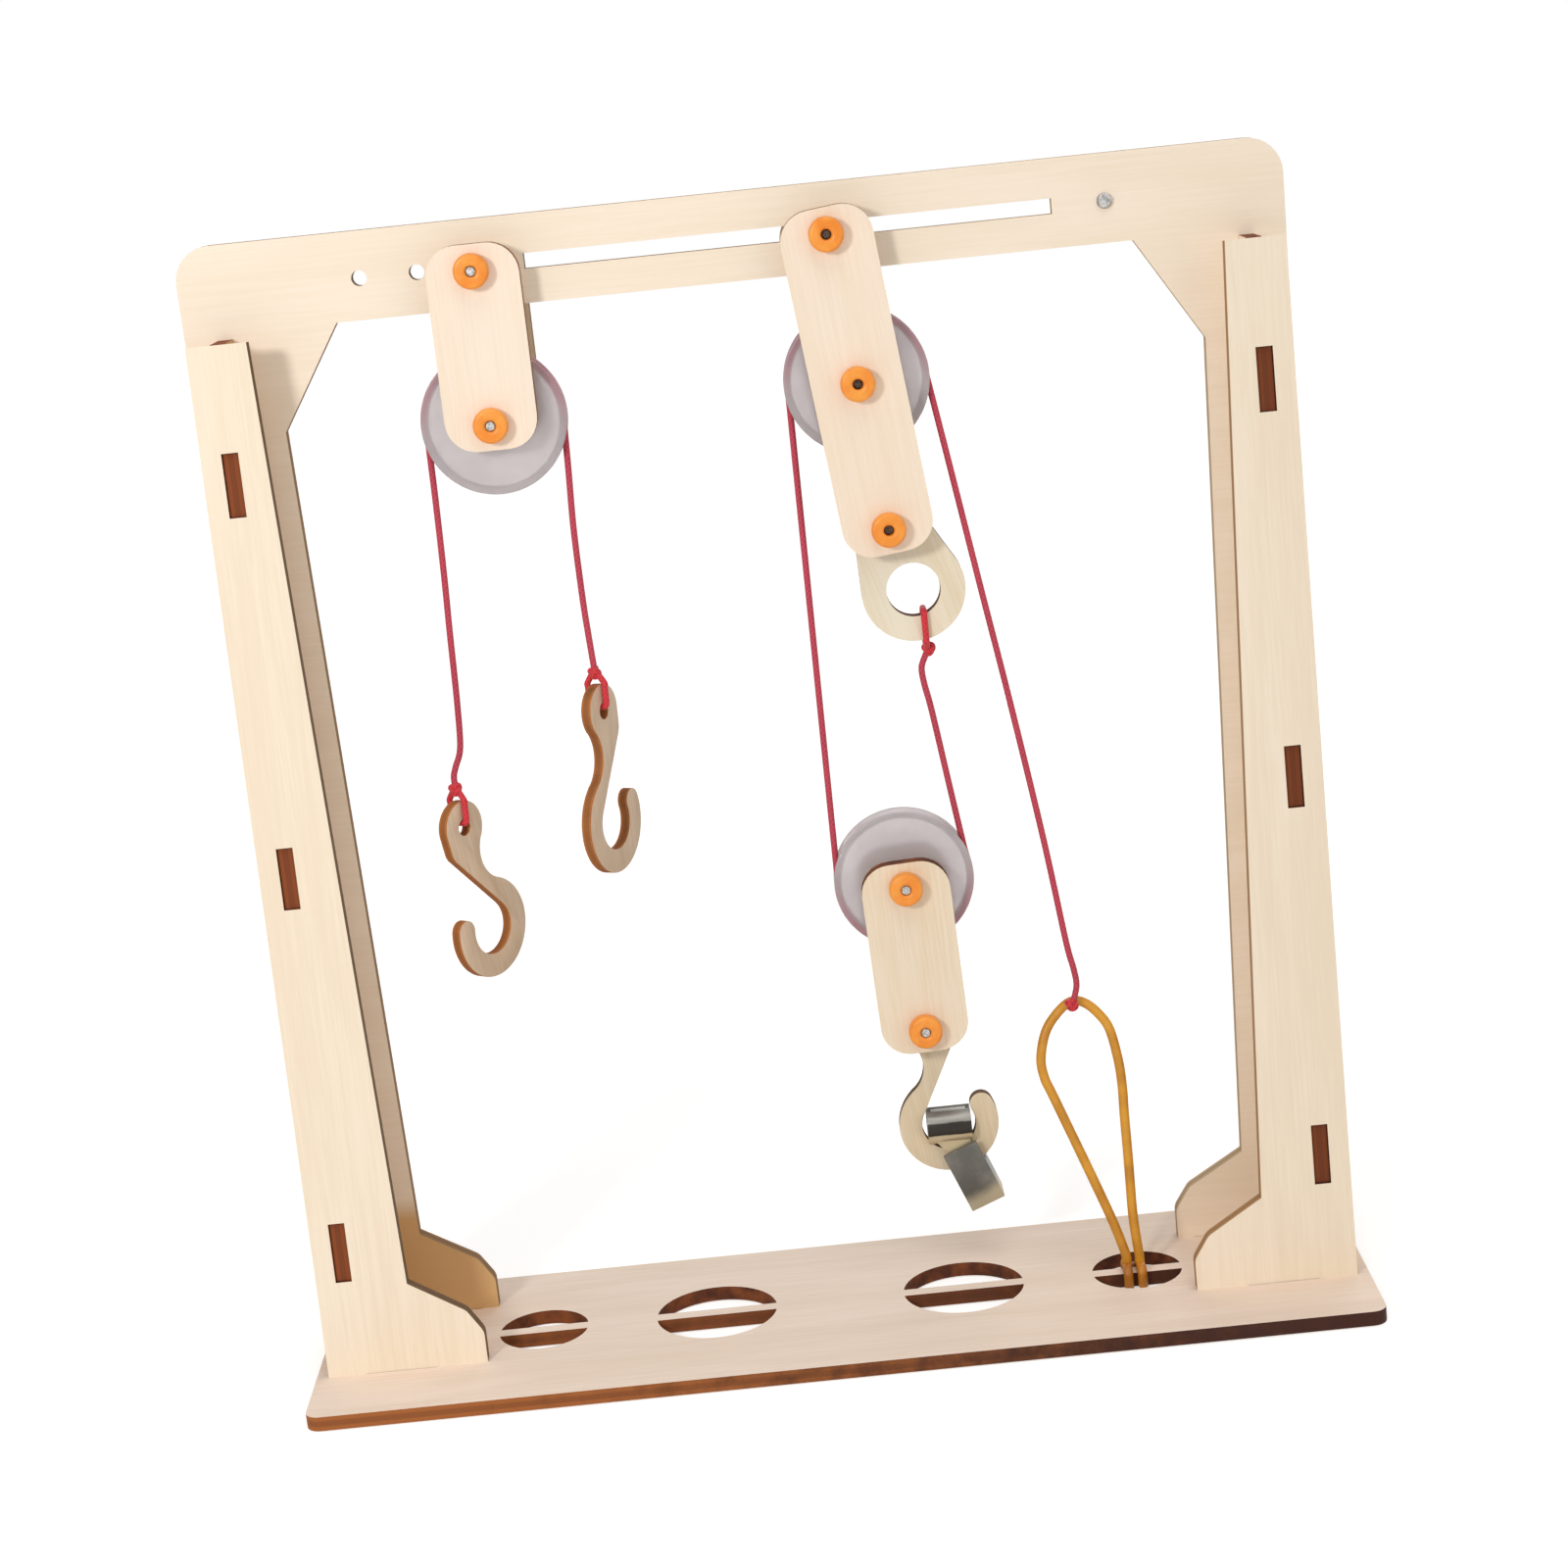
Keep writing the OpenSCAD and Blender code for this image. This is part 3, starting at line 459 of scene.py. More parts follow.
# %% Loops of cord through the hooks' eyes and the eye plate
PLY = 0.003
HOOK_T = 0.0022
HEAD_R, EYE_D = 0.0055, 0.0034
RING_CENTRE = below(CENTRE_LOW, 0.0142, 16.5)


def wall_loop(place, turn, inner, outer, wall, rise):
    """A closed line from a knot, rise past the outer height, over a wall's two faces and through its eye."""
    off = CORD / 2 + 0.00012
    side = wall / 2 + off
    s = 1 if outer > inner else -1
    half = [
        (0.0003, outer + s * rise),
        (side + 0.00005, outer + s * 0.0003), (side + 0.00005, outer - s * 0.0006),
        (side, inner), (wall / 2 + 0.7 * off, inner - s * 0.7 * off), (wall / 2, inner - s * off),
    ]
    ring = half + [(-y, z) for y, z in reversed(half)]
    spin = Matrix.Rotation(math.radians(turn), 3, "Z")
    corner = [Vector(place) + spin @ Vector((0, y, z)) for y, z in ring]
    return smooth_route(corner, step=0.0003, closed=True)




def hook_loop(name, eye, turn):
    """The loop through a hook's eye."""
    line = wall_loop((eye[0], MID_Y, eye[1]), turn, EYE_D / 2, HEAD_R, HOOK_T, KNOT_RISE - HEAD_R)
    return cord_piece(name, line, KNOT_RED, closed=True)


long_loop = hook_loop("long_hook_loop_tied", LONG_EYE, 55)
short_loop = hook_loop("short_hook_loop_tied", SHORT_EYE, 64)
ring_low = RING_CENTRE[1] - 0.0104 + 0.0001
eye_loop = cord_piece("eye_plate_loop_tied", wall_loop(
    (RING_CENTRE[0] + 0.0016, MID_Y, 0), 0, RING_CENTRE[1] - 0.0054 + 0.00025, ring_low, PLY,
    ring_low - EYE_KNOT[2]), KNOT_RED, closed=True)
print("loops:", [o.name for o in (long_loop, short_loop, eye_loop)])

# %% [markdown]
# ## The rubber band
#
# The band is cut from amber natural rubber. It hangs behind the knot in a long loop, and its two
# strands come together over the bar in the base, where they are hitched round it in two turns.
# Natural rubber lets some light in, so it glows a little at its edges: that is subsurface
# scattering, and it has a soft, waxy gloss. The turns round the bar sit down in the base's hole,
# and their deeper orange is painted shade.

# %% Natural rubber, and the band's pieces
BAND = 0.002


def natural_rubber(name, light, dark):
    """Amber natural rubber, moulded and dusted: waxy gloss, lets light in at the edges."""
    material, tree, shader = new_material(name)
    place = add(tree, "ShaderNodeTexCoord").outputs["Object"]
    cloud = add(tree, "ShaderNodeTexNoise", [("Vector", place), ("Scale", 160.0), ("Detail", 4.0)]).outputs[0]
    dust = add(tree, "ShaderNodeTexNoise", [("Vector", place), ("Scale", 2200.0), ("Detail", 2.0)]).outputs[0]
    colour = blend_colours(tree, between(tree, cloud, 0.32, 0.68), linear(dark), linear(light))
    tree.links.new(colour, shader.inputs["Base Color"])
    rough = maths(tree, "MULTIPLY_ADD", dust, 0.2, 0.32)
    tree.links.new(rough, shader.inputs["Roughness"])
    bump = add(tree, "ShaderNodeBump", [("Height", dust), ("Strength", 0.25), ("Distance", 0.00005)])
    tree.links.new(bump.outputs[0], shader.inputs["Normal"])
    shader.inputs["IOR"].default_value = 1.52
    shader.inputs["Subsurface Weight"].default_value = 0.25
    shader.inputs["Subsurface Radius"].default_value = (1.0, 0.55, 0.2)
    shader.inputs["Subsurface Scale"].default_value = 0.0012
    return material


RUBBER = natural_rubber("natural rubber, amber", "#DC9C24", "#C28212")
# painted shade: a darker copy of the same rubber, for the turns down in the base's hole
PAINTED_SHADE_RUBBER = natural_rubber("natural rubber, painted shade", "#D08518", "#AC680C")
band_line = smooth_route(metres([
    (62.5, 1.2, 4.3), (62.5, 1.2, 6.2), (62.2, 1.4, 9.5), (61.9, 2.4, 15.5), (62, 3.9, 26.3), (62, 5.1, 35.7),
    (62.1, 5.9, 41.4), (61.8, 6.8, 47), (60.6, 8, 53.6), (58.6, 8.8, 57), (56, 9.3, 59.4), (53.2, 9.5, 59.9),
    (50, 9, 57.6), (47.4, 8, 54.2), (46, 7, 49), (46.4, 6.4, 45), (47.5, 5.9, 42), (50, 5, 35.2),
    (54.3, 3.6, 23.4), (57.4, 2.6, 14.6), (59.1, 1.7, 9), (59.8, 1.2, 6.2), (59.8, 1.2, 4.3),
]))
top = max(range(len(band_line)), key=lambda i: band_line[i].z)
up = min(range(top), key=lambda i: abs(band_line[i].z - 0.032))
down = min(range(top, len(band_line)), key=lambda i: abs(band_line[i].z - 0.032))
band_right = cord_piece("band_right_strand", band_line[:up + 1], RUBBER, diameter=BAND, sides=16)
band_upper = cord_piece("band_upper_loop", band_line[up:down + 1], RUBBER, diameter=BAND, sides=16)
band_left = cord_piece("band_left_strand", band_line[down:], RUBBER, diameter=BAND, sides=16)
print("band, mm:", round(length_of(band_line) * 1000, 1))

# %% The hitch: two turns over the bar, and the bight behind it


def turn_over_bar(x):
    """The line of one turn of the band over the bar in the base's right-hand hole."""
    return smooth_route(metres([
        (x, -1.45, 0.4), (x, -1.45, 2.9), (x, -1.1, 3.81), (x, -0.3, 4.15),
        (x, 2.7, 4.15), (x, 3.5, 3.81), (x, 3.85, 2.9), (x, 3.85, 0.4),
    ]), step=0.0004)


hitch = [
    cord_piece("band_hitch_left_turn", turn_over_bar(59.7), PAINTED_SHADE_RUBBER, diameter=BAND, sides=16),
    cord_piece("band_hitch_right_turn", turn_over_bar(62.6), PAINTED_SHADE_RUBBER, diameter=BAND, sides=16),
    cord_piece("band_hitch_bight", smooth_route(metres([
        (59.4, 4.15, 2.3), (60.4, 4.3, 2.45), (61.9, 4.3, 2.45), (62.9, 4.15, 2.3),
    ])), PAINTED_SHADE_RUBBER, diameter=0.9 * BAND, sides=16),
]
print("hitch turns, mm:", round(length_of(turn_over_bar(59.7)) * 1000, 1))

# %% Bodies that the cords and the band move with


def between_bodies(piece, node):
    """The piece stands for a solid that spans two bodies; the solid is hidden and the piece's place is baked
    into its mesh.
    """
    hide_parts(node)
    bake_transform(piece)


def on_body(piece, body, *nodes):
    """The piece stands for solids and rides on a body."""
    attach(piece, body)
    if nodes:
        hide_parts(*nodes)


on_body(left_over, "left_block", "left_cord_top")
on_body(lift_over, "centre_block", "lift_cord_top")
on_body(lift_under, "movable_block", "lift_cord_bottom")
on_body(long_knot, "long_drop", "long_cord_knot")
on_body(short_knot, "short_drop", "short_cord_knot")
on_body(band_knot, "band_end", "band_knot")
on_body(eye_knot, "eye_link", "eye_plate_knot")
on_body(eye_loop, "eye_link", "eye_plate_knot")
on_body(long_loop, "long_hanger", "long_hook_loop")
on_body(short_loop, "short_hanger", "short_hook_loop")
between_bodies(long_drop, "long_cord")
between_bodies(short_drop, "short_cord")
between_bodies(lift_left, "lift_cord_left")
between_bodies(lift_right, "lift_cord_right")
between_bodies(tail_high, "tail_cord")
between_bodies(tail_low, "tail_cord")
between_bodies(band_right, "rubber_band")
between_bodies(band_left, "rubber_band")
between_bodies(band_upper, "rubber_band")
for piece in hitch:
    on_body(piece, "frame", "band_hitch")


total = sum(length_of(line) for line in (
    left_run, right_run, tail, arc_in_groove(CENTRE_MID, TAIL_ANGLE, 180 - TAIL_ANGLE),
    arc_in_groove(MOVABLE_TOP, 180, 180 + RIGHT_ANGLE)))
print("lift cord in all, mm:", round(total * 1000))

# %% [markdown]
# ## Laser-cut plywood
#
# The woodwork is 3 mm basswood plywood. Its faces are pale and satin with a faint straight grain.
# The laser leaves every cut edge burnt brown, with the three layers showing as bands. One
# material does both: it asks the surface which way it faces. Where that is square to the sheet,
# it draws the face, and elsewhere it draws the burnt edge. The grain is stretched along one
# direction, so each sheet gets its own copy with its own normal and grain direction.

# %% The plywood material
FACE_LIGHT, FACE_DARK = "#FAE9D4", "#F5E3CB"
BURN_WARM, BURN_DARK = "#A5602E", "#3E1E12"
CHAR = ("#4A2312", "#8A4A22")


def laser_cut_plywood(name, normal, grain, middle, light=FACE_LIGHT, dark=FACE_DARK, burn=None, seed=0.0,
                      charred=None, painted_shade_box=None):
    """Birch plywood, sanded and laser-cut: satin faces, charred edges in three layers."""
    material, tree, shader = new_material(name)
    normal, grain = Vector(normal).normalized(), Vector(grain).normalized()
    where = add(tree, "ShaderNodeTexCoord")

    def along(direction, source):
        node = add(tree, "ShaderNodeVectorMath", [(0, source), (1, direction)], operation="DOT_PRODUCT")
        return node.outputs["Value"]

    u = along(grain, where.outputs["Object"])
    v = along(normal.cross(grain), where.outputs["Object"])
    w = along(normal, where.outputs["Object"])
    facing = maths(tree, "ABSOLUTE", along(normal, where.outputs["Normal"]))
    is_face = maths(tree, "GREATER_THAN", facing, 0.8)

    def streaks(length_mm, width_mm, detail, twist=0.0):
        """Noise whose patches are that long along the grain and that wide across it."""
        across = maths(tree, "MULTIPLY", v, 1000 / width_mm)
        with_grain = maths(tree, "MULTIPLY", u, 1000 / length_mm)
        point = add(tree, "ShaderNodeCombineXYZ", [(0, with_grain), (1, across), (2, seed)])
        node = add(tree, "ShaderNodeTexNoise", [
            ("Vector", point.outputs[0]), ("Scale", 1.0), ("Detail", detail), ("Distortion", twist),
        ])
        return node.outputs[0]

    broad = streaks(90, 9, 3.0, 0.6)
    fine = streaks(16, 0.55, 4.0)
    pores = streaks(2.4, 0.22, 2.0)
    figure = maths(tree, "MULTIPLY_ADD", fine, 0.45, maths(tree, "MULTIPLY", broad, 0.55))
    face = blend_colours(tree, between(tree, figure, 0.34, 0.66), linear(dark), linear(light))
    face = blend_colours(tree, between(tree, pores, 0.7, 0.9), face, linear("#EAD4B6"))
    axes = add(tree, "ShaderNodeSeparateXYZ", [(0, where.outputs["Object"])]).outputs

    def inside(box):
        """1 within a box of (low, high) pairs along x, y and z, with soft sides; None leaves an axis free."""
        mask = 1.0
        for axis, pair in zip(axes, box):
            if pair is not None:
                mirrored = maths(tree, "ABSOLUTE", axis) if pair[0] >= 0 else axis
                soft = 0.0004 if pair[1] - pair[0] < 0.01 else 0.003
                rising = between(tree, mirrored, pair[0] - soft, pair[0] + soft)
                falling = between(tree, mirrored, pair[1] + soft, pair[1] - soft)
                mask = maths(tree, "MULTIPLY", mask, maths(tree, "MULTIPLY", rising, falling))
        return mask

    # painted shade: the face inside this box, which lies in shadow, is tinted brown
    if painted_shade_box:
        face = blend_colours(tree, inside(painted_shade_box[0]), face, linear(painted_shade_box[1]))

    # the burn goes from one tone at the left end of the object to another at the right
    first, last = burn or (BURN_WARM, BURN_DARK)
    scorch = add(tree, "ShaderNodeTexNoise", [
        ("Vector", where.outputs["Object"]), ("Scale", 240.0), ("Detail", 5.0), ("Roughness", 0.6),
    ]).outputs[0]
    drift = maths(tree, "MULTIPLY_ADD", scorch, 0.16, axes[0])
    edge = blend_colours(tree, between(tree, drift, 0.0, 0.16), linear(first), linear(last))
    off_middle = maths(tree, "ABSOLUTE", maths(tree, "SUBTRACT", w, middle))
    middle_layer = maths(tree, "LESS_THAN", off_middle, 0.0006)
    edge = blend_colours(tree, maths(tree, "MULTIPLY", middle_layer, 0.3), edge, linear(BURN_DARK))
    if charred:
        patches = between(tree, maths(tree, "SUBTRACT", scorch, axes[0]), 0.3, 0.75)
        char = blend_colours(tree, patches, linear(CHAR[0]), linear(CHAR[1]))
        edge = blend_colours(tree, inside(charred), edge, char)
    tree.links.new(blend_colours(tree, is_face, edge, face), shader.inputs["Base Color"])
    rough = maths(tree, "MULTIPLY_ADD", is_face, -0.22, maths(tree, "MULTIPLY_ADD", fine, 0.12, 0.76))
    tree.links.new(rough, shader.inputs["Roughness"])
    height = maths(tree, "MULTIPLY_ADD", pores, -0.6, maths(tree, "MULTIPLY", fine, 0.5))
    bump = add(tree, "ShaderNodeBump", [("Height", height), ("Strength", 0.18), ("Distance", 0.00008)])
    tree.links.new(bump.outputs[0], shader.inputs["Normal"])
    shader.inputs["IOR"].default_value = 1.5
    shader.inputs["Specular IOR Level"].default_value = 0.35
    return material


def sheet_middle(node, normal):
    """How far along its normal a sheet's middle plane lies."""
    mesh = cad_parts[node].data
    reach = [v.co.dot(Vector(normal).normalized()) for v in mesh.vertices]
    return (min(reach) + max(reach)) / 2


def dress(node, material):
    """Gives every slot of a solid the material."""
    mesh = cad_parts[node].data
    if not mesh.materials:
        mesh.materials.append(material)
    for i in range(len(mesh.materials)):
        mesh.materials[i] = material


print("plywood ready")

# %% Every sheet of wood and its material
POST_LEAN = math.degrees(math.atan((27 - 12) / 207))
post_normal = (0, -math.cos(math.radians(POST_LEAN)), math.sin(math.radians(POST_LEAN)))
post_grain = (0, math.sin(math.radians(POST_LEAN)), math.cos(math.radians(POST_LEAN)))


def leaning(lean):
    """The long direction of a plate that leans to the right as it goes down."""
    a = math.radians(lean)
    return (math.sin(a), 0, -math.cos(a))


BACK, UP, RIGHT = (0, 1, 0), (0, 0, 1), (1, 0, 0)
PINK = {"light": "#F9E7D3", "dark": "#F3DEC5", "burn": ("#9A6A44", "#8A5E3E")}
TAN = {"light": "#F0DFC2", "dark": "#E4CEA9", "burn": ("#9A6A44", "#8A5E3E")}
# PAINTED_SHADE is painted shade: the left web's inner face lies in the post's shadow, and its brown face
# colour stands for that shade, not for the wood.
PAINTED_SHADE = {"light": "#C9A271", "dark": "#B48A58", "burn": ("#8A4620", "#8A4620")}
MORTISES_X = (0.0973, 0.1013)     # across a mortise; one pair serves the left and the right side
FRAME_MORTISES = (MORTISES_X, None, (-0.01, 0.215))
POST_MORTISES = (MORTISES_X, None, (-0.01, 0.195))
BASE_HOLES = ((0, 0.08), (0, 0.02), None)
SHEETS = [
    ("base_plate", UP, RIGHT, {"light": "#F6E3D2", "dark": "#ECD6C2", "charred": BASE_HOLES}),
    # the brown box on the frame's left rear foot is painted shade
    ("main_frame", BACK, RIGHT, {
        "burn": ("#94714B", "#CBB08C"), "charred": FRAME_MORTISES,
        "painted_shade_box": (((-0.2, -0.069), None, (-0.01, 0.027)), "#DDB27C")}),
    ("left_post", post_normal, post_grain, {
        "light": "#F5E5CE", "dark": "#EEDBC1",
        "burn": ("#6E5233", "#B08A5E"), "charred": POST_MORTISES}),
    ("right_post", post_normal, post_grain, {
        "light": "#F7E6CF", "dark": "#EFDDC3",
        "burn": ("#6E5233", "#B58A5C"), "charred": POST_MORTISES}),
    ("left_web", RIGHT, UP, PAINTED_SHADE), ("right_web", RIGHT, UP, {"burn": ("#7E4220", "#7A3C1A")}),
    ("left_plate_front", BACK, UP, PINK), ("left_plate_rear", BACK, UP, TAN),
    ("centre_plate_front", BACK, leaning(CENTRE_LEAN), PINK),
    ("centre_plate_rear", BACK, leaning(CENTRE_LEAN), TAN),
    ("movable_plate_front", BACK, leaning(MOVABLE_LEAN), {"light": "#F0DFC6", "dark": "#E7D0B0"}),
    ("movable_plate_rear", BACK, leaning(MOVABLE_LEAN), TAN),
    ("eye_plate", BACK, leaning(16.5), {"light": "#F1E5CE", "dark": "#E6D5B6"}),
]
for number, (node, normal, grain, tint) in enumerate(SHEETS):
    middle = sheet_middle(node, normal)
    dress(node, laser_cut_plywood(
        "laser-cut plywood, " + node, normal, grain, middle, seed=3.7 * number, **tint))
print("sheets dressed:", len(SHEETS))

# %% [markdown]
# ## Wooden hooks
#
# The three hooks are cut from thinner ply to one outline: a round head with an eye, a stem that
# leans across, and a bend that opens to the side. The outline is drawn from circles and the
# lines and hollows that touch them, so it can be redrawn here with more points than the solid
# has. The sharp rim gets a hair of bevel that catches the light.

# %% The hook's outline
HOOK_R, HOOK_W, HOOK_DROP, NECK_R = 0.008, 0.0048, 0.0231, 0.007
SHOULDER_R, SHOULDER_DROP, TIP_ANGLE = 0.004, 0.0035, 20.0


def arc_points(centre, r, start, end, steps):
    """Points on an arc, angles in degrees."""
    out = []
    for i in range(steps + 1):
        a = math.radians(start + (end - start) * i / steps)
        out.append((centre[0] + r * math.cos(a), centre[1] + r * math.sin(a)))
    return out


def hook_outline():
    """The hook's outline with its eye at the origin, open to the right."""
    out_r, in_r = HOOK_R + HOOK_W / 2, HOOK_R - HOOK_W / 2
    bend = (0, -HOOK_DROP)
    shoulder = (HEAD_R - SHOULDER_R, -SHOULDER_DROP)
    line = (shoulder[0], shoulder[1] + HOOK_DROP)
    cross = math.degrees(math.atan2(line[0], line[1]) + math.asin((SHOULDER_R + in_r) / math.hypot(*line)))
    to_head, to_bend = HEAD_R + NECK_R, out_r + NECK_R
    drop = (to_head**2 - to_bend**2 + HOOK_DROP**2) / (2 * HOOK_DROP)
    hollow = (-math.sqrt(to_head**2 - drop**2), -drop)
    head_a = math.degrees(math.atan2(-hollow[1], -hollow[0]))
    bend_a = math.degrees(math.atan2(bend[1] - hollow[1], bend[0] - hollow[0]))
    tip_a = math.radians(TIP_ANGLE)
    tip = (bend[0] + HOOK_R * math.cos(tip_a), bend[1] + HOOK_R * math.sin(tip_a))
    return (
        arc_points(shoulder, SHOULDER_R, -cross, -6, 8) + arc_points((0, 0), HEAD_R, 0, 180 + head_a, 40)
        + arc_points(hollow, NECK_R, head_a, bend_a, 16)
        + arc_points(bend, out_r, 180 + bend_a, 360 + TIP_ANGLE, 64)
        + arc_points(tip, HOOK_W / 2, TIP_ANGLE, TIP_ANGLE + 180, 20)[1:-1]
        + arc_points(bend, in_r, 360 + TIP_ANGLE, 180 - cross, 40)
    )


def cut_sheet(name, outline, hole, thickness, bevel=0.00012):
    """A flat sheet cut to an outline with one hole, standing in XZ about y = 0, its rims bevelled."""
    build = bmesh.new()
    rings = [[build.verts.new((x, -thickness / 2, z)) for x, z in ring] for ring in (outline, hole)]
    edges = [build.edges.new((ring[i - 1], ring[i])) for ring in rings for i in range(len(ring))]
    bmesh.ops.triangle_fill(build, edges=edges, use_beauty=True)
    front = list(build.faces)
    lifted = bmesh.ops.extrude_face_region(build, geom=front)["geom"]
    back = [g for g in lifted if isinstance(g, bmesh.types.BMVert)]
    bmesh.ops.translate(build, verts=back, vec=(0, thickness, 0))
    bmesh.ops.recalc_face_normals(build, faces=build.faces)
    bmesh.ops.dissolve_limit(build, angle_limit=0.01, verts=build.verts, edges=build.edges)
    build.edges.ensure_lookup_table()
    rims = [e for e in build.edges if len(e.link_faces) == 2 and e.calc_face_angle() > 1.2]
    bmesh.ops.bevel(build, geom=rims, offset=bevel, segments=2, affect="EDGES", profile=0.5)
    mesh = bpy.data.meshes.new(name)
    build.to_mesh(mesh)
    build.free()
    piece = bpy.data.objects.new(name, mesh)
    bpy.context.scene.collection.objects.link(piece)
    return piece


def bake_place(piece, matrix):
    """Puts a piece's place into its mesh, and leaves its object at the origin."""
    piece.data.transform(matrix)
    if matrix.determinant() < 0:
        piece.data.flip_normals()
    piece.data.update()
    return piece


def smooth_by_angle(piece, degrees=35):
    """Smooth shading that keeps edges sharper than the angle."""
    for face in piece.data.polygons:
        face.use_smooth = True
    piece.data.set_sharp_from_angle(angle=math.radians(degrees))
    return piece


print("outline points:", len(hook_outline()))

# %% The three hooks
HOLE = arc_points((0, 0), EYE_D / 2, 0, 352.5, 47)
LOAD_LEAN = 8.0
LOAD_EYE = below(MOVABLE_LOW, (EYE_D - 0.002) / 2 - 0.00005, LOAD_LEAN)


def hook(name, eye, turn, lean, flip, tint, seed):
    """One hook hung by its eye, turned about its cord and leaned in its own plane."""
    piece = cut_sheet(name, hook_outline(), HOLE, HOOK_T)
    place = (
        Matrix.Translation((eye[0], MID_Y, eye[1])) @ Matrix.Rotation(math.radians(turn), 4, "Z")
        @ Matrix.Rotation(-math.radians(lean), 4, "Y") @ Matrix.Diagonal((-1 if flip else 1, 1, 1, 1))
    )
    bake_place(piece, place)
    smooth_by_angle(piece, 40)
    normal = (place.to_3x3() @ Vector((0, 1, 0))).normalized()
    grain = (place.to_3x3() @ Vector((0, 0, 1))).normalized()
    middle = Vector((eye[0], MID_Y, eye[1])).dot(normal)
    piece.data.materials.append(laser_cut_plywood(
        "laser-cut plywood, " + name, normal, grain, middle, seed=seed, **tint))
    return piece


FREE = {"light": "#DFC7AC", "dark": "#CBAE8F", "burn": ("#B5713A", "#5A301A")}
long_hook = hook("long_hook_cut", LONG_EYE, 55, 11.5, True, FREE, 51.0)
short_hook = hook("short_hook_cut", SHORT_EYE, 64, -1, False, FREE, 57.0)
load_hook = hook("load_hook_cut", LOAD_EYE, 0, LOAD_LEAN, False,
                 {"light": "#E9DAC0", "dark": "#DCC8A7", "burn": ("#8E775B", "#5E4A38")}, 63.0)
on_body(long_hook, "long_hanger", "long_hook")
on_body(short_hook, "short_hanger", "short_hook")
on_body(load_hook, "load_hanger", "load_hook")
print("hooks:", [len(o.data.polygons) for o in (long_hook, short_hook, load_hook)], "faces")

# %% [markdown]
# ## Pulleys
#
# The pulleys are moulded from a milky plastic, so thin that the red cord tints the rim from
# inside. A turned part is drawn as a profile, half of its section, and spun round its axle.
# Light goes into such plastic and comes out softened, so the shader mixes transmission with
# scattering. The cord's tint is too faint that way, so it is painted on the half of the rim
# where the cord lies at rest. It is a shortcut: the tint turns with the wheel.

# %% Moulded plastics


def milky_polypropylene(name, centre, side):
    """Natural polypropylene, moulded: milky, satin. The pink of the cord seen through its rim is painted on
    one side.
    """
    material, tree, shader = new_material(name)
    place = add(tree, "ShaderNodeTexCoord").outputs["Object"]
    cloud = add(tree, "ShaderNodeTexNoise", [("Vector", place), ("Scale", 120.0), ("Detail", 3.0)]).outputs[0]
    colour = blend_colours(tree, between(tree, cloud, 0.3, 0.7), linear("#D6CDCE"), linear("#E3DCDC"))
    x, _, z = add(tree, "ShaderNodeSeparateXYZ", [(0, place)]).outputs
    across = maths(tree, "SUBTRACT", x, centre[0])
    upwards = maths(tree, "MULTIPLY", maths(tree, "SUBTRACT", z, centre[1]), side)
    squares = [maths(tree, "POWER", leg, 2.0) for leg in (across, upwards)]
    out = maths(tree, "SQRT", maths(tree, "ADD", *squares))
    # painted light: the pink of the red cord seen through the rim, on the half where the cord lies at rest
    on_rim = between(tree, out, RUN_R - 0.001, RUN_R)
    painted_cord_glow = maths(tree, "MULTIPLY", on_rim, between(tree, upwards, -0.004, 0.006))
    colour = blend_colours(tree, maths(tree, "MULTIPLY", painted_cord_glow, 0.55), colour, linear("#D98FA0"))
    tree.links.new(colour, shader.inputs["Base Color"])
    rough = maths(tree, "MULTIPLY_ADD", cloud, 0.12, 0.3)
    tree.links.new(rough, shader.inputs["Roughness"])
    grit = add(tree, "ShaderNodeTexNoise", [("Vector", place), ("Scale", 2600.0)]).outputs[0]
    bump = add(tree, "ShaderNodeBump", [("Height", grit), ("Strength", 0.1), ("Distance", 0.00003)])
    tree.links.new(bump.outputs[0], shader.inputs["Normal"])
    shader.inputs["IOR"].default_value = 1.49
    shader.inputs["Transmission Weight"].default_value = 0.55
    shader.inputs["Subsurface Weight"].default_value = 0.3
    shader.inputs["Subsurface Radius"].default_value = (1.0, 0.9, 0.9)
    shader.inputs["Subsurface Scale"].default_value = 0.002
    return material


def orange_plastic(name):
    """Orange polyethylene, moulded: even colour, soft gloss, warm light in its edges."""
    material, tree, shader = new_material(name)
    place = add(tree, "ShaderNodeTexCoord").outputs["Object"]
    cloud = add(tree, "ShaderNodeTexNoise", [("Vector", place), ("Scale", 260.0), ("Detail", 3.0)]).outputs[0]
    colour = blend_colours(tree, between(tree, cloud, 0.3, 0.7), linear("#F08A1E"), linear("#F9A23C"))
    tree.links.new(colour, shader.inputs["Base Color"])
    rough = maths(tree, "MULTIPLY_ADD", cloud, 0.14, 0.3)
    tree.links.new(rough, shader.inputs["Roughness"])
    grit = add(tree, "ShaderNodeTexNoise", [("Vector", place), ("Scale", 3000.0)]).outputs[0]
    bump = add(tree, "ShaderNodeBump", [("Height", grit), ("Strength", 0.12), ("Distance", 0.00003)])
    tree.links.new(bump.outputs[0], shader.inputs["Normal"])
    shader.inputs["IOR"].default_value = 1.51
    shader.inputs["Subsurface Weight"].default_value = 0.2
    shader.inputs["Subsurface Radius"].default_value = (1.0, 0.5, 0.15)
    shader.inputs["Subsurface Scale"].default_value = 0.001
    return material


ORANGE = orange_plastic("polyethylene, orange")
print("plastics ready:", ORANGE.name)

# %% A turned part, and the three pulleys


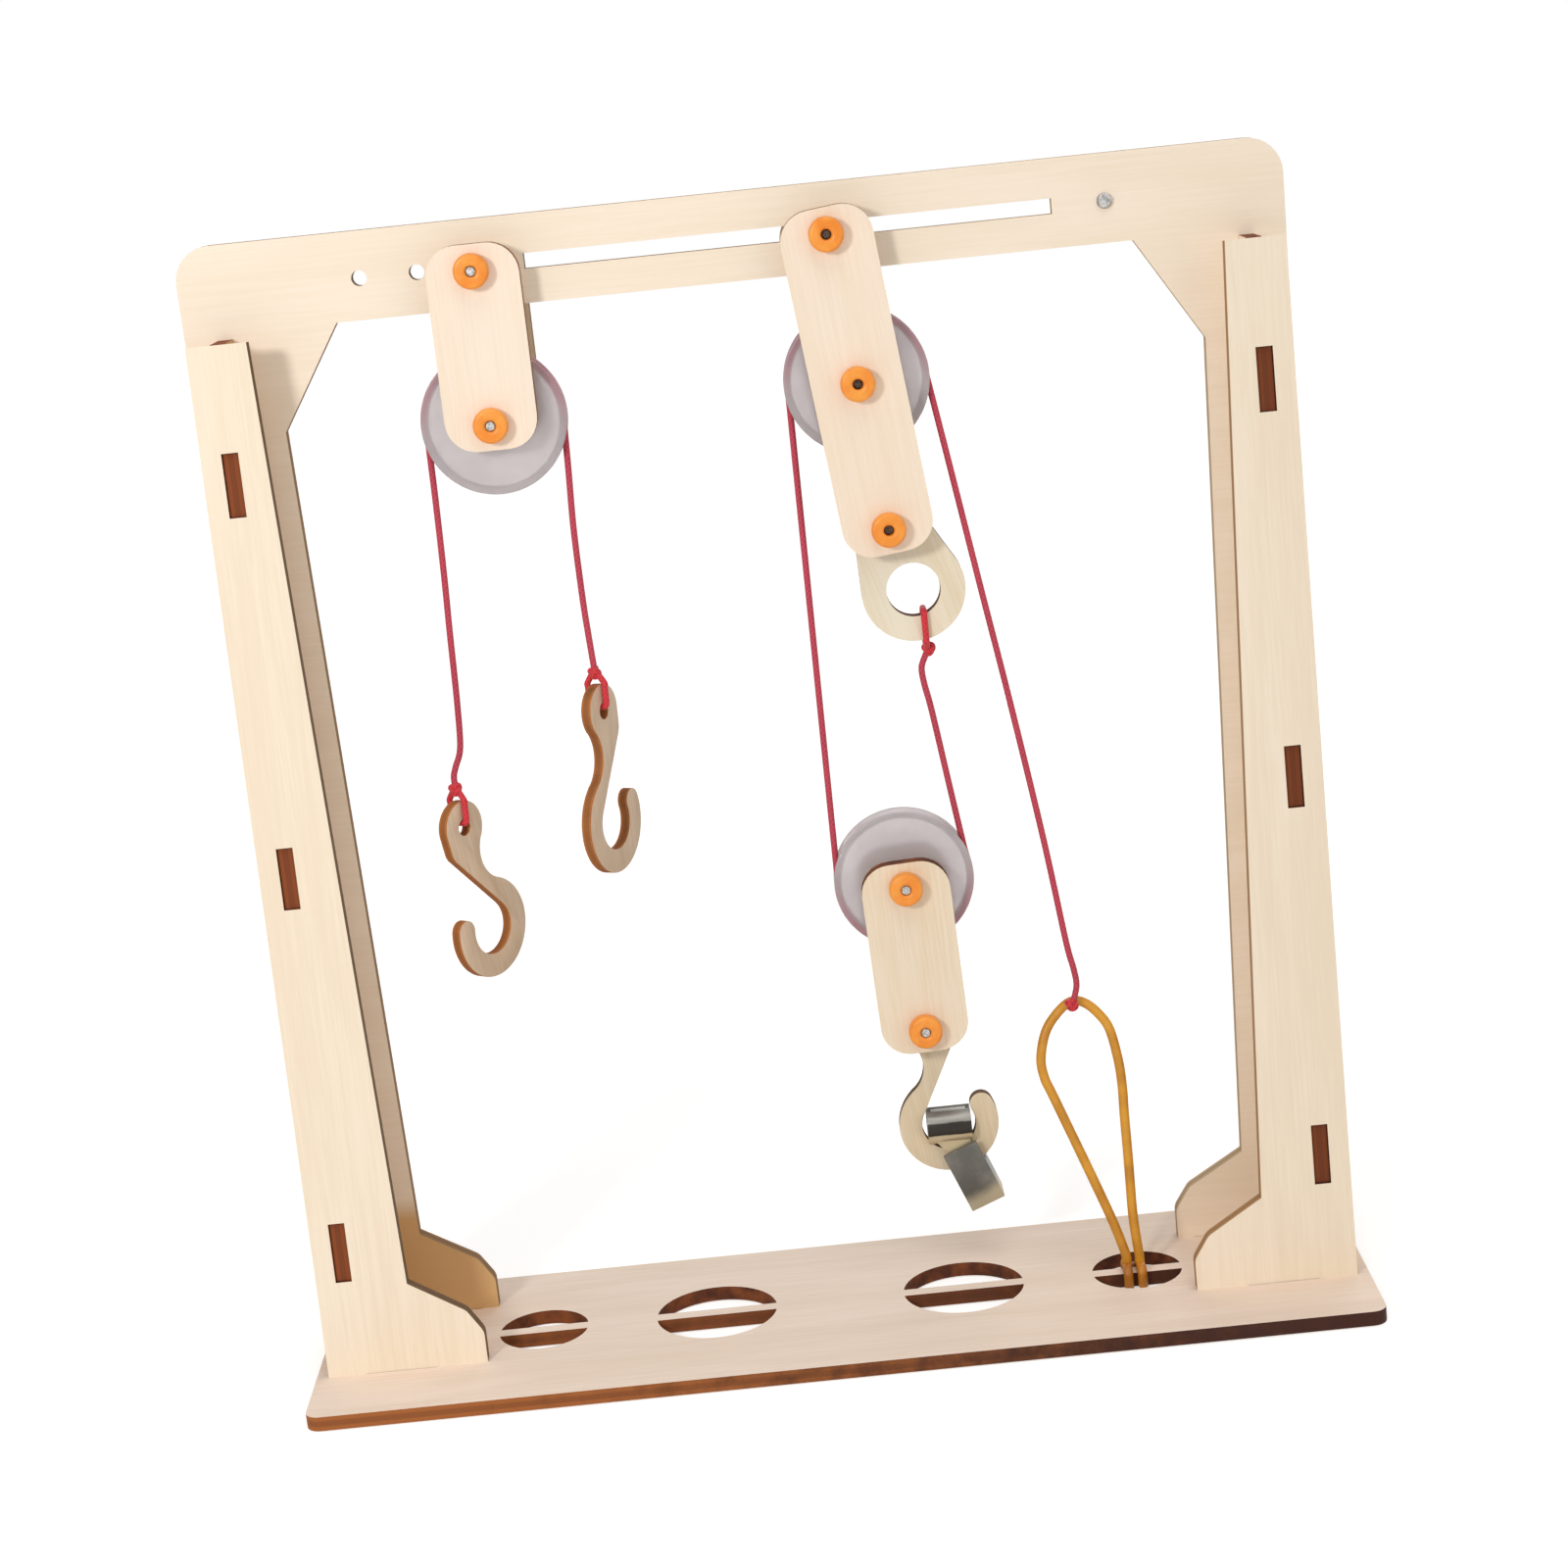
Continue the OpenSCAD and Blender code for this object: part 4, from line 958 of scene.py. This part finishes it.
def turned(name, profile, centre, segments=96, angle=30):
    """Spins a closed profile of (radius, y) points round a front-to-back axis through centre (x, z)."""
    mesh = bpy.data.meshes.new(name)
    n = len(profile)
    points, faces = [], []
    for i in range(segments):
        a = 2 * math.pi * i / segments
        for r, y in profile:
            points.append((centre[0] + r * math.cos(a), MID_Y + y, centre[1] + r * math.sin(a)))
    for i in range(segments):
        for j in range(n):
            a, b = i * n + j, i * n + (j + 1) % n
            c, d = ((i + 1) % segments) * n + (j + 1) % n, ((i + 1) % segments) * n + j
            faces.append((a, b, c, d))
    mesh.from_pydata(points, [], faces)
    build = bmesh.new()
    build.from_mesh(mesh)
    bmesh.ops.remove_doubles(build, verts=build.verts, dist=1e-7)
    bmesh.ops.recalc_face_normals(build, faces=build.faces)
    build.to_mesh(mesh)
    build.free()
    piece = bpy.data.objects.new(name, mesh)
    bpy.context.scene.collection.objects.link(piece)
    return smooth_by_angle(piece, angle)


def soften(corners, radius, steps=4):
    """Rounds each corner of a closed profile by up to radius."""
    out = []
    n = len(corners)
    for i in range(n):
        a, b, c = (Vector(corners[(i + k) % n]) for k in (-1, 0, 1))
        cut = min(radius, (a - b).length * 0.45, (c - b).length * 0.45)
        start, end = b + (a - b).normalized() * cut, b + (c - b).normalized() * cut
        for k in range(steps + 1):
            t = k / steps
            out.append(tuple(start * (1 - t) ** 2 + b * 2 * t * (1 - t) + end * t**2))
    return out


PULLEY_R, RIM_HALF, HUB_HALF = 0.0143, 0.0025, 0.0042
FLOOR_R, FLOOR_HALF = RUN_R - CORD / 2 - 0.0001, CORD / 2 + 0.0001
half_section = [
    (0.00106, -HUB_HALF), (0.0034, -HUB_HALF), (0.0034, -RIM_HALF),
    (PULLEY_R, -RIM_HALF), (PULLEY_R, -RIM_HALF + 0.0007), (FLOOR_R, -FLOOR_HALF),
]
section = half_section + [(r, -y) for r, y in reversed(half_section)]


def pulley(name, centre, side, body, node):
    """A pulley on its axle; side is 1 where the cord lies over it and -1 where it lies under it."""
    piece = turned(name, soften(section, 0.00035), centre, segments=128)
    piece.data.materials.append(milky_polypropylene("polypropylene, milky, " + node, centre, side))
    on_body(piece, body, node)
    return piece


pulleys = [
    pulley("left_pulley_moulded", LEFT_LOW, 1, "left_wheel", "left_pulley"),
    pulley("centre_pulley_moulded", CENTRE_MID, 1, "centre_wheel", "centre_pulley"),
    pulley("movable_pulley_moulded", MOVABLE_TOP, -1, "movable_wheel", "movable_pulley"),
]
print("pulleys:", [len(o.data.polygons) for o in pulleys], "faces")

# %% [markdown]
# ## Caps on the axle ends
#
# Fourteen orange caps hold the plates on their axles. All are the same short moulded tube, so
# they are made by a node tree: a rounded section is swept round a circle, and the ring is put on
# every point of a small list of axle ends, turned to face outwards. The list carries each
# point's outward direction as an attribute.

# %% The node tree that puts a cap on every axle end
CAP_D, CAP_L, AXLE_D = 0.0068, 0.003, 0.002


def caps_tree():
    """Points in, caps out, with named sizes."""
    tree = bpy.data.node_groups.new("caps on axle ends", "GeometryNodeTree")
    socket_on(tree, "Ends", "NodeSocketGeometry")
    socket_on(tree, "Cap diameter", "NodeSocketFloat", CAP_D)
    socket_on(tree, "Cap length", "NodeSocketFloat", CAP_L)
    socket_on(tree, "Bore diameter", "NodeSocketFloat", AXLE_D)
    socket_on(tree, "Rounding", "NodeSocketFloat", 0.0007)
    socket_on(tree, "Finish", "NodeSocketMaterial")
    socket_on(tree, "Caps", "NodeSocketGeometry", out=True)
    given = add(tree, "NodeGroupInput").outputs
    wall = add(tree, "ShaderNodeMath", [
        (0, add(tree, "ShaderNodeMath", [(0, given["Cap diameter"]), (1, given["Bore diameter"])],
                operation="SUBTRACT").outputs[0]), (1, 0.5),
    ], operation="MULTIPLY").outputs[0]
    middle = add(tree, "ShaderNodeMath", [
        (0, add(tree, "ShaderNodeMath", [(0, given["Cap diameter"]), (1, given["Bore diameter"])],
                operation="ADD").outputs[0]), (1, 0.25),
    ], operation="MULTIPLY").outputs[0]
    box = add(tree, "GeometryNodeCurvePrimitiveQuadrilateral", [
        ("Width", wall), ("Height", given["Cap length"])])
    rounded = add(tree, "GeometryNodeFilletCurve", [
        ("Curve", box.outputs[0]), ("Count", 6), ("Radius", given["Rounding"]), ("Limit Radius", True),
    ], mode="POLY")
    path = add(tree, "GeometryNodeCurvePrimitiveCircle", [("Resolution", 48), ("Radius", middle)])
    ring = add(tree, "GeometryNodeCurveToMesh", [(0, path.outputs[0]), ("Profile Curve", rounded.outputs[0])])
    seat = add(tree, "ShaderNodeMath", [(0, given["Cap length"]), (1, 0.5)], operation="MULTIPLY").outputs[0]
    lift = add(tree, "ShaderNodeCombineXYZ", [(2, seat)])
    raised = add(tree, "GeometryNodeTransform", [
        ("Geometry", ring.outputs[0]), ("Translation", lift.outputs[0])])
    out = add(tree, "GeometryNodeInputNamedAttribute", [("Name", "outwards")], data_type="FLOAT_VECTOR")
    aim = add(tree, "FunctionNodeAlignRotationToVector", [("Vector", out.outputs[0])], axis="Z")
    placed = add(tree, "GeometryNodeInstanceOnPoints", [
        ("Points", given["Ends"]), ("Instance", raised.outputs[0]), ("Rotation", aim.outputs[0]),
    ])
    real = add(tree, "GeometryNodeRealizeInstances", [("Geometry", placed.outputs[0])])
    smooth = add(tree, "GeometryNodeSetShadeSmooth", [("Geometry", real.outputs[0])])
    painted = add(tree, "GeometryNodeSetMaterial", [
        ("Geometry", smooth.outputs[0]), ("Material", given["Finish"])])
    add(tree, "NodeGroupOutput", [("Caps", painted.outputs[0])])
    return tree


CAPS = caps_tree()
FRONT_SEAT = MID_Y - 0.0045 - PLY - 0.00005
REAR_SEAT = MID_Y + 0.0045 + PLY + 0.00005


def caps(name, centres, body, node):
    """Caps on both ends of each axle, as one mesh."""
    mesh = bpy.data.meshes.new(name + "_ends")
    mesh.from_pydata([(x, y, z) for x, z in centres for y in (FRONT_SEAT, REAR_SEAT)], [], [])
    outwards = mesh.attributes.new("outwards", "FLOAT_VECTOR", "POINT")
    for i, item in enumerate(outwards.data):
        item.vector = (0, 1 if i % 2 else -1, 0)
    source = bpy.data.objects.new(name + "_ends", mesh)
    bpy.context.scene.collection.objects.link(source)
    piece = run_tree(source, CAPS, name, Finish=ORANGE)
    build = bmesh.new()
    build.from_mesh(piece.data)
    bmesh.ops.remove_doubles(build, verts=build.verts, dist=1e-7)
    bmesh.ops.recalc_face_normals(build, faces=build.faces)
    build.to_mesh(piece.data)
    build.free()
    on_body(piece, body, node)
    low = [min(v.co[k] for v in piece.data.vertices) for k in range(3)]
    high = [max(v.co[k] for v in piece.data.vertices) for k in range(3)]
    print(name, "mm:", [round(c * 1000, 2) for c in low], [round(c * 1000, 2) for c in high])
    return piece


caps("left_caps_moulded", [LEFT_TOP, LEFT_LOW], "left_block", "left_caps")
caps("trolley_caps_moulded", [CENTRE_TOP], "trolley", "trolley_caps")
caps("centre_caps_moulded", [CENTRE_MID, CENTRE_LOW], "centre_block", "centre_caps")
caps("movable_caps_moulded", [MOVABLE_TOP, MOVABLE_LOW], "movable_block", "movable_caps")

# %% [markdown]
# ## Axles and the peg
#
# The axles are short pins cut from steel rod. Their ends are all that shows, so these get a small
# chamfer from the cutter and a spin of fine marks in the metal. In the centre block the pins are
# shorter and sit inside their caps, in shade, and that shade is painted into their dark colour.

# %% Steel, and the pins


def turned_steel(name, dull, bright, roughness):
    """Mild steel rod, cut and tumbled: grey, soft highlight, fine scratches."""
    material, tree, shader = new_material(name)
    place = add(tree, "ShaderNodeTexCoord").outputs["Object"]
    marks = add(tree, "ShaderNodeTexNoise", [
        ("Vector", place), ("Scale", 1800.0), ("Detail", 4.0)]).outputs[0]
    tone = blend_colours(tree, between(tree, marks, 0.3, 0.7), linear(dull), linear(bright))
    tree.links.new(tone, shader.inputs["Base Color"])
    rough = maths(tree, "MULTIPLY_ADD", marks, 0.2, roughness - 0.1)
    tree.links.new(rough, shader.inputs["Roughness"])
    bump = add(tree, "ShaderNodeBump", [("Height", marks), ("Strength", 0.15), ("Distance", 0.00003)])
    tree.links.new(bump.outputs[0], shader.inputs["Normal"])
    shader.inputs["Metallic"].default_value = 1.0
    return material


STEEL = turned_steel("mild steel rod, tumbled", "#8F8D8B", "#C9C7C4", 0.38)
# painted shade: the centre block's pins sit deep in their caps, and their dark colour stands for the shade
# there
PAINTED_SHADE_STEEL = turned_steel("mild steel rod, painted shade", "#3A302A", "#5E5148", 0.5)


def pin(name, centre, half, radius, body, node, finish=STEEL):
    """A round pin with a chamfer at both ends."""
    c = 0.0002
    outline = [
        (0.0, -half), (radius - c, -half), (radius, -half + c),
        (radius, half - c), (radius - c, half), (0.0, half),
    ]
    piece = turned(name, outline, centre, segments=48)
    piece.data.materials.append(finish)
    on_body(piece, body, node)
    return piece


R = AXLE_D / 2
pins = [
    pin("left_beam_pin", LEFT_TOP, 0.0103, R, "left_block", "left_beam_axle"),
    pin("left_pulley_pin", LEFT_LOW, 0.0103, R, "left_block", "left_pulley_axle"),
    pin("trolley_pin", CENTRE_TOP, 0.0091, R, "trolley", "trolley_axle", PAINTED_SHADE_STEEL),
    pin("centre_pulley_pin", CENTRE_MID, 0.0091, R, "centre_block", "centre_pulley_axle", PAINTED_SHADE_STEEL),
    pin("eye_plate_pin", CENTRE_LOW, 0.0091, R, "centre_block", "eye_plate_axle", PAINTED_SHADE_STEEL),
    pin("movable_pulley_pin", MOVABLE_TOP, 0.0103, R, "movable_block", "movable_pulley_axle"),
    pin("load_hook_pin", MOVABLE_LOW, 0.0103, R, "movable_block", "load_hook_axle"),
    pin("beam_peg_pin", (0.0725, 0.219), 0.0023, 0.00145, "frame", "beam_peg"),
]

# %% [markdown]
# ## The weight
#
# A small plated clip holds a steel block in the bend of the load hook. The plating is bright and
# the block is bare grey steel. Both keep the solids' shape. A copy of each solid is merged, its
# flat faces are joined, and its edges are bevelled so that they catch the light.

# %% The weight's metals and pieces


BEND = below(LOAD_EYE, HOOK_DROP, LOAD_LEAN)


def plated_steel(name):
    """Nickel-plated steel barrel: grey above, with a painted reflection of the wood in tan below and a
    painted dark band of shade and reflection across its front.
    """
    material, tree, shader = new_material(name)
    where = add(tree, "ShaderNodeTexCoord").outputs
    z = add(tree, "ShaderNodeSeparateXYZ", [(0, where["Object"])]).outputs[2]
    facing = add(tree, "ShaderNodeSeparateXYZ", [(0, where["Normal"])]).outputs[1]
    front = maths(tree, "LESS_THAN", facing, -0.25)
    smear = add(tree, "ShaderNodeTexNoise", [
        ("Vector", where["Object"]), ("Scale", 260.0), ("Detail", 4.0)]).outputs[0]
    height = maths(tree, "MULTIPLY_ADD", smear, 0.0006, maths(tree, "SUBTRACT", z, BEND[1] - 0.0008))
    # painted reflection: grey above, the tan of the wood below
    tone = blend_colours(tree, between(tree, height, -0.0006, 0.0), linear("#CDBD9C"), linear("#8E8B84"))
    # painted shade and reflection: a dark band across the front faces, where no slot is modelled
    over = between(tree, height, -0.0007, -0.0003)
    under = between(tree, height, 0.0024, 0.002)
    painted_dark_band = maths(tree, "MULTIPLY", maths(tree, "MULTIPLY", over, under), front)
    tone = blend_colours(tree, painted_dark_band, tone, linear("#2F2B26"))
    tree.links.new(tone, shader.inputs["Base Color"])
    tree.links.new(maths(tree, "MULTIPLY_ADD", smear, 0.2, 0.25), shader.inputs["Roughness"])
    shader.inputs["Metallic"].default_value = 0.6
    return material


def grey_steel(name):
    """Zinc-grey steel, satin, turning pale tan towards its lower end."""
    material, tree, shader = new_material(name)
    place = add(tree, "ShaderNodeTexCoord").outputs["Object"]
    mottle = add(tree, "ShaderNodeTexNoise", [("Vector", place), ("Scale", 150.0), ("Detail", 5.0)]).outputs[0]
    tilt = math.radians(21.5)
    down = Vector((math.sin(tilt), 0, -math.cos(tilt)))
    past = add(tree, "ShaderNodeVectorMath", [
        (0, place), (1, down)], operation="DOT_PRODUCT").outputs["Value"]
    start = Vector((BEND[0], MID_Y, BEND[1])).dot(down)
    along = maths(tree, "MULTIPLY_ADD", mottle, 0.002, maths(tree, "SUBTRACT", past, start))
    tone = blend_colours(tree, between(tree, mottle, 0.35, 0.75), linear("#5F5D57"), linear("#7E7B73"))
    # the block turns pale tan towards its lower end
    tone = blend_colours(tree, between(tree, along, 0.0155, 0.0185), tone, linear("#B9AE93"))
    tree.links.new(tone, shader.inputs["Base Color"])
    tree.links.new(maths(tree, "MULTIPLY_ADD", mottle, 0.25, 0.25), shader.inputs["Roughness"])
    shader.inputs["Metallic"].default_value = 0.5
    return material


def fine_copy(name, node, bevel, material, body):
    """A merged copy of a solid with its edges bevelled, which stands for it."""
    build = bmesh.new()
    build.from_mesh(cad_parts[node].data)
    bmesh.ops.remove_doubles(build, verts=build.verts, dist=2e-6)
    bmesh.ops.recalc_face_normals(build, faces=build.faces)
    bmesh.ops.dissolve_limit(build, angle_limit=math.radians(1), verts=build.verts, edges=build.edges)
    sharp = [e for e in build.edges if len(e.link_faces) == 2 and e.calc_face_angle() > math.radians(35)]
    bmesh.ops.bevel(
        build, geom=sharp, offset=bevel, segments=2, affect="EDGES", profile=0.6, clamp_overlap=True)
    mesh = bpy.data.meshes.new(name)
    build.to_mesh(mesh)
    build.free()
    piece = bpy.data.objects.new(name, mesh)
    bpy.context.scene.collection.objects.link(piece)
    mesh.materials.append(material)
    on_body(piece, body, node)
    return smooth_by_angle(piece, 30)


PLATED = plated_steel("nickel-plated steel, painted reflections")
GREY = grey_steel("zinc-grey steel")
clip = fine_copy("weight_clip_plated", "weight_clip", 0.0001, PLATED, "weight")
block = fine_copy("weight_block_grey", "weight_block", 0.00018, GREY, "weight")
print("weight:", len(clip.data.polygons), len(block.data.polygons), "faces")

# %% [markdown]
# ## Light, floor and background
#
# One lamp at the front left, less than a metre away, gives the soft shadows to the right of the
# blocks, and its light falls off towards the right and the base. The world fills the rest
# evenly. To the camera the world is plain white, and so is the floor, which adds
# a little glow for the camera alone. The floor still takes the object's shadow.

# %% The world


def studio_world(fill):
    world = bpy.data.worlds.new("studio")
    world.use_nodes = True
    tree = world.node_tree
    tree.nodes.clear()
    seen = add(tree, "ShaderNodeLightPath").outputs
    direct = maths(tree, "MAXIMUM", seen["Is Camera Ray"], maths(
        tree, "MAXIMUM", seen["Is Glossy Ray"], seen["Is Transmission Ray"]))
    strength = add(tree, "ShaderNodeMapRange", [(0, direct), (3, fill), (4, 1.0)]).outputs[0]
    light = add(tree, "ShaderNodeBackground", [("Color", (1, 1, 1, 1)), ("Strength", strength)])
    add(tree, "ShaderNodeOutputWorld", [("Surface", light.outputs[0])])
    bpy.context.scene.world = world
    return world


studio_world(0.32)
bpy.context.scene.view_settings.view_transform = "Standard"
print("world:", bpy.context.scene.world.name)

# %% Lamps and floor


def sun(name, azimuth, elevation, strength, softness):
    """A distant lamp. Azimuth 0 stands in front of the object, and -90 to its left."""
    data = bpy.data.lights.new(name, "SUN")
    data.energy = strength
    data.angle = math.radians(softness)
    lamp = bpy.data.objects.new(name, data)
    a, e = math.radians(azimuth), math.radians(elevation)
    towards = Vector((math.sin(a) * math.cos(e), -math.cos(a) * math.cos(e), math.sin(e)))
    lamp.rotation_euler = towards.to_track_quat("Z", "Y").to_euler()
    bpy.context.scene.collection.objects.link(lamp)
    return lamp


def near_lamp(name, place, target, power, size):
    """A round lamp at a real distance, so that what is further from it is darker."""
    data = bpy.data.lights.new(name, "AREA")
    data.shape = "DISK"
    data.size = size
    data.energy = power
    lamp = bpy.data.objects.new(name, data)
    lamp.location = place
    lamp.rotation_euler = (Vector(place) - Vector(target)).to_track_quat("Z", "Y").to_euler()
    bpy.context.scene.collection.objects.link(lamp)
    return lamp


near_lamp("key", (-0.35, -0.56, 0.38), (0, 0, 0.17), 1.85, 0.12)
sun("fill", 50, 14, 0.5, 60)
sun("top", 10, 68, 0.72, 40)
sun("back", 160, 30, 0.45, 40)


def studio_floor():
    """A white floor that keeps the shadow and looks as white as the background."""
    mesh = bpy.data.meshes.new("floor")
    s = 3.0
    low = -0.0003
    mesh.from_pydata([(-s, -s, low), (s, -s, low), (s, s, low), (-s, s, low)], [], [(0, 1, 2, 3)])
    floor = bpy.data.objects.new("floor", mesh)
    bpy.context.scene.collection.objects.link(floor)
    material, tree, shader = new_material("white card")
    shader.inputs["Base Color"].default_value = linear("#F2F1EF")
    shader.inputs["Roughness"].default_value = 0.9
    seen = add(tree, "ShaderNodeLightPath").outputs
    direct = maths(tree, "MAXIMUM", seen["Is Camera Ray"], maths(
        tree, "MAXIMUM", seen["Is Glossy Ray"], seen["Is Transmission Ray"]))
    shader.inputs["Emission Color"].default_value = (1, 1, 1, 1)
    tree.links.new(maths(tree, "MULTIPLY", direct, 0.45), shader.inputs["Emission Strength"])
    mesh.materials.append(material)
    return floor


studio_floor()
print("lamps and floor ready")
